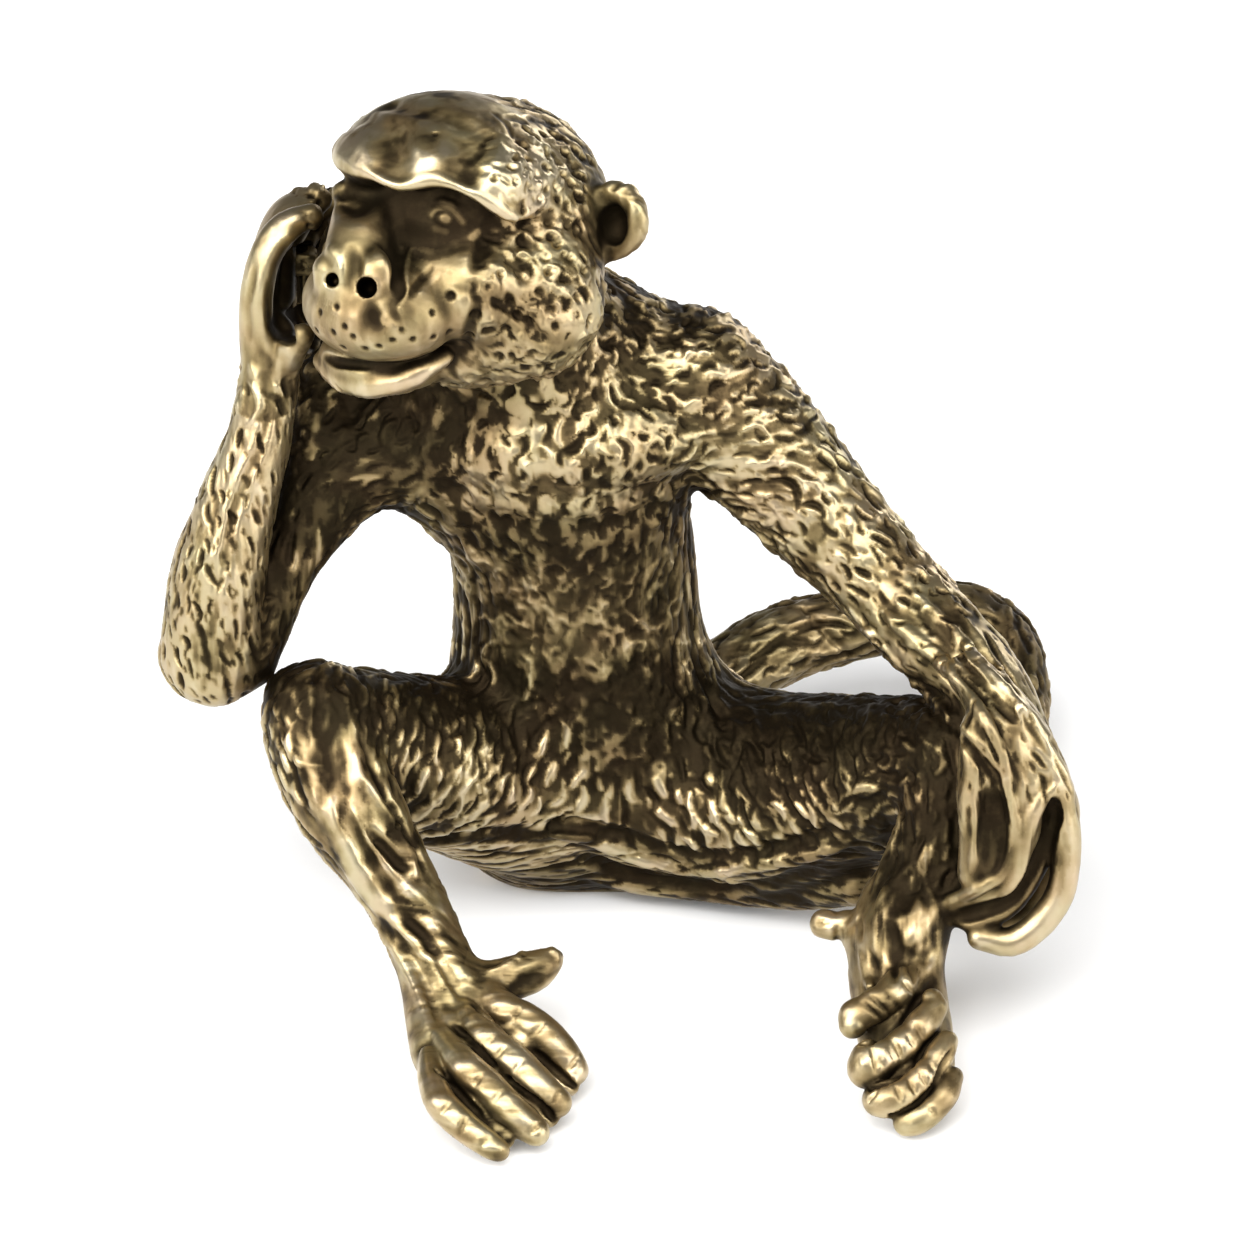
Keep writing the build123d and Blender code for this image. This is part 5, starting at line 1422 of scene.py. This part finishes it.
# ------------------------------------------------------------- into Blender
def material():
    m = bpy.data.materials.new("antique_brass_cast")
    m.use_nodes = True
    nt = m.node_tree
    nd, ln = nt.nodes, nt.links
    b = nd["Principled BSDF"]
    b.inputs["Metallic"].default_value = 1.0
    att = nd.new("ShaderNodeAttribute")
    att.attribute_name = "tone"
    tc = nd.new("ShaderNodeTexCoord")
    n1 = nd.new("ShaderNodeTexNoise")
    n1.inputs["Scale"].default_value = 1400.0
    n1.inputs["Detail"].default_value = 4.0
    n1.inputs["Roughness"].default_value = 0.6
    ln.new(tc.outputs["Object"], n1.inputs["Vector"])
    mul = nd.new("ShaderNodeMath"); mul.operation = "MULTIPLY_ADD"
    mul.inputs[1].default_value = 0.26
    ln.new(n1.outputs["Fac"], mul.inputs[0])
    off = nd.new("ShaderNodeMath"); off.operation = "SUBTRACT"
    off.inputs[1].default_value = 0.13
    ln.new(att.outputs["Fac"], off.inputs[0])
    ln.new(off.outputs[0], mul.inputs[2])
    ramp_ = nd.new("ShaderNodeValToRGB")
    el = ramp_.color_ramp.elements
    el[0].position = 0.0; el[0].color = (0.019, 0.0135, 0.0075, 1)
    el[1].position = 1.0; el[1].color = (0.47, 0.393, 0.268, 1)
    for p, c in ((0.20, (0.058, 0.042, 0.021, 1)), (0.38, (0.158, 0.116, 0.057, 1)), (0.56, (0.26, 0.198, 0.103, 1)), (0.78, (0.385, 0.31, 0.184, 1))):
        e = el.new(p); e.color = c
    ln.new(mul.outputs[0], ramp_.inputs["Fac"])
    # browner and greener areas
    warm = nd.new("ShaderNodeMix"); warm.data_type = "RGBA"; warm.blend_type = "MULTIPLY"
    tint = nd.new("ShaderNodeValToRGB")
    te = tint.color_ramp.elements
    te[0].position = 0.34; te[0].color = (0.97, 1.0, 0.93, 1)
    te[1].position = 0.66; te[1].color = (1.0, 0.94, 0.91, 1)
    n4 = nd.new("ShaderNodeTexNoise")
    n4.inputs["Scale"].default_value = 420.0
    n4.inputs["Detail"].default_value = 3.0
    ln.new(tc.outputs["Object"], n4.inputs["Vector"])
    ln.new(n4.outputs["Fac"], tint.inputs["Fac"])
    warm.inputs["Factor"].default_value = 1.0
    ln.new(ramp_.outputs["Color"], warm.inputs["A"])
    ln.new(tint.outputs["Color"], warm.inputs["B"])
    ln.new(warm.outputs["Result"], b.inputs["Base Color"])
    rr = nd.new("ShaderNodeMapRange")
    rr.inputs["From Min"].default_value = 0.1
    rr.inputs["From Max"].default_value = 0.8
    rr.inputs["To Min"].default_value = 0.56
    rr.inputs["To Max"].default_value = 0.30
    ln.new(mul.outputs[0], rr.inputs["Value"])
    n3 = nd.new("ShaderNodeTexNoise")
    n3.inputs["Scale"].default_value = 500.0
    n3.inputs["Detail"].default_value = 3.0
    ln.new(tc.outputs["Object"], n3.inputs["Vector"])
    ra = nd.new("ShaderNodeMath"); ra.operation = "MULTIPLY_ADD"
    ra.inputs[1].default_value = 0.12
    ln.new(n3.outputs["Fac"], ra.inputs[0])
    ln.new(rr.outputs["Result"], ra.inputs[2])
    ln.new(ra.outputs[0], b.inputs["Roughness"])
    n2 = nd.new("ShaderNodeTexNoise")
    n2.inputs["Scale"].default_value = 3200.0
    n2.inputs["Detail"].default_value = 3.0
    ln.new(tc.outputs["Object"], n2.inputs["Vector"])
    bump = nd.new("ShaderNodeBump")
    bump.inputs["Strength"].default_value = 0.25
    bump.inputs["Distance"].default_value = 0.00004
    ln.new(n2.outputs["Fac"], bump.inputs["Height"])
    ln.new(bump.outputs["Normal"], b.inputs["Normal"])
    return m


MAT = material()
final_n = vertex_normals(D_V, Q)
world_v = (D_V + SHIFT) * 0.001
pieces = {}
for j, name in enumerate(PARTS):
    f = Q[flabel == j]
    used, inv = np.unique(f, return_inverse=True)
    inv = inv.reshape(f.shape)
    me = bpy.data.meshes.new("brass_" + name)
    me.vertices.add(len(used))
    me.vertices.foreach_set("co", world_v[used].ravel())
    me.loops.add(inv.size)
    me.loops.foreach_set("vertex_index", inv.ravel().astype(np.int32))
    me.polygons.add(len(inv))
    me.polygons.foreach_set("loop_start", np.arange(0, inv.size, 4, dtype=np.int32))
    me.polygons.foreach_set("loop_total", np.full(len(inv), 4, np.int32))
    me.polygons.foreach_set("use_smooth", np.ones(len(inv), bool))
    me.update(calc_edges=True)
    me.validate()
    me.normals_split_custom_set_from_vertices(final_n[used].astype(F))
    at_ = me.attributes.new("tone", "FLOAT", "POINT")
    at_.data.foreach_set("value", tone[used].astype(F))
    me.materials.append(MAT)
    ob = bpy.data.objects.new("brass_" + name, me)
    bpy.context.scene.collection.objects.link(ob)
    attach(ob, "root")
    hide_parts(name)
    pieces[name] = ob
log("pieces")

# ------------------------------------------------------------- floor, light, camera
def floor():
    me = bpy.data.meshes.new("studio_floor")
    s = 1.2
    me.from_pydata([(-s, -s, 0), (s, -s, 0), (s, s, 0), (-s, s, 0)], [], [(0, 1, 2, 3)])
    m = bpy.data.materials.new("pale_floor")
    m.use_nodes = True
    b = m.node_tree.nodes["Principled BSDF"]
    b.inputs["Base Color"].default_value = (0.86, 0.86, 0.86, 1)
    b.inputs["Roughness"].default_value = 0.9
    b.inputs["Specular IOR Level"].default_value = 0.1
    me.materials.append(m)
    ob = bpy.data.objects.new("studio_floor", me)
    bpy.context.scene.collection.objects.link(ob)
    ob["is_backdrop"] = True


floor()
from mathutils import Vector, Matrix


def softbox(name, loc, target, size, power, size_y=None):
    L = bpy.data.lights.new(name, "AREA")
    L.shape = "RECTANGLE"
    L.size = size
    L.size_y = size_y or size
    L.energy = power
    o = bpy.data.objects.new(name, L)
    o.location = loc
    d = Vector(target) - Vector(loc)
    o.rotation_euler = d.to_track_quat("-Z", "Y").to_euler()
    bpy.context.scene.collection.objects.link(o)
    return o


C = (0, 0, 0.018)
softbox("key", (-0.27, -0.29, 0.30), C, 0.46, 3.5)
softbox("fill", (0.38, -0.22, 0.15), C, 0.38, 1.9)
softbox("front", (0.06, -0.26, 0.46), C, 0.42, 2.9)
softbox("side", (-0.40, -0.09, 0.26), C, 0.34, 0.9)
softbox("back", (0.22, 0.40, 0.10), C, 0.16, 0.5)
w = bpy.data.worlds.new("studio")
bpy.context.scene.world = w
w.use_nodes = True
w.node_tree.nodes["Background"].inputs["Color"].default_value = (1, 1, 1, 1)
w.node_tree.nodes["Background"].inputs["Strength"].default_value = 0.17
bpy.context.scene.view_settings.view_transform = "Standard"

# the camera: azimuth 0, 32 degrees above the floor, long lens
cam = bpy.data.cameras.new("view")
cam_o = bpy.data.objects.new("view", cam)
bpy.context.scene.collection.objects.link(cam_o)
bpy.context.scene.camera = cam_o
cx = (690 - 690) / K
mid = (np.array(at(697, 779, -6.0)) + SHIFT) * 0.001
DIST = 1.2
cam_o.location = Vector(mid) + Vector((0, -CE, SE)) * DIST
cam_o.rotation_euler = (math.radians(90 - 32), 0, 0)
cam.sensor_fit = "HORIZONTAL"
cam.sensor_width = 36
frame_h = (1420 / K / 0.86) * 0.001
cam.lens = 36 * DIST / frame_h
cam.clip_start = 0.01
cam.clip_end = 10

size = {"cad": [list(map(float, p)) for p in cad_box], "visual": [list(map(float, p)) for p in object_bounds()]}
log("size", size)
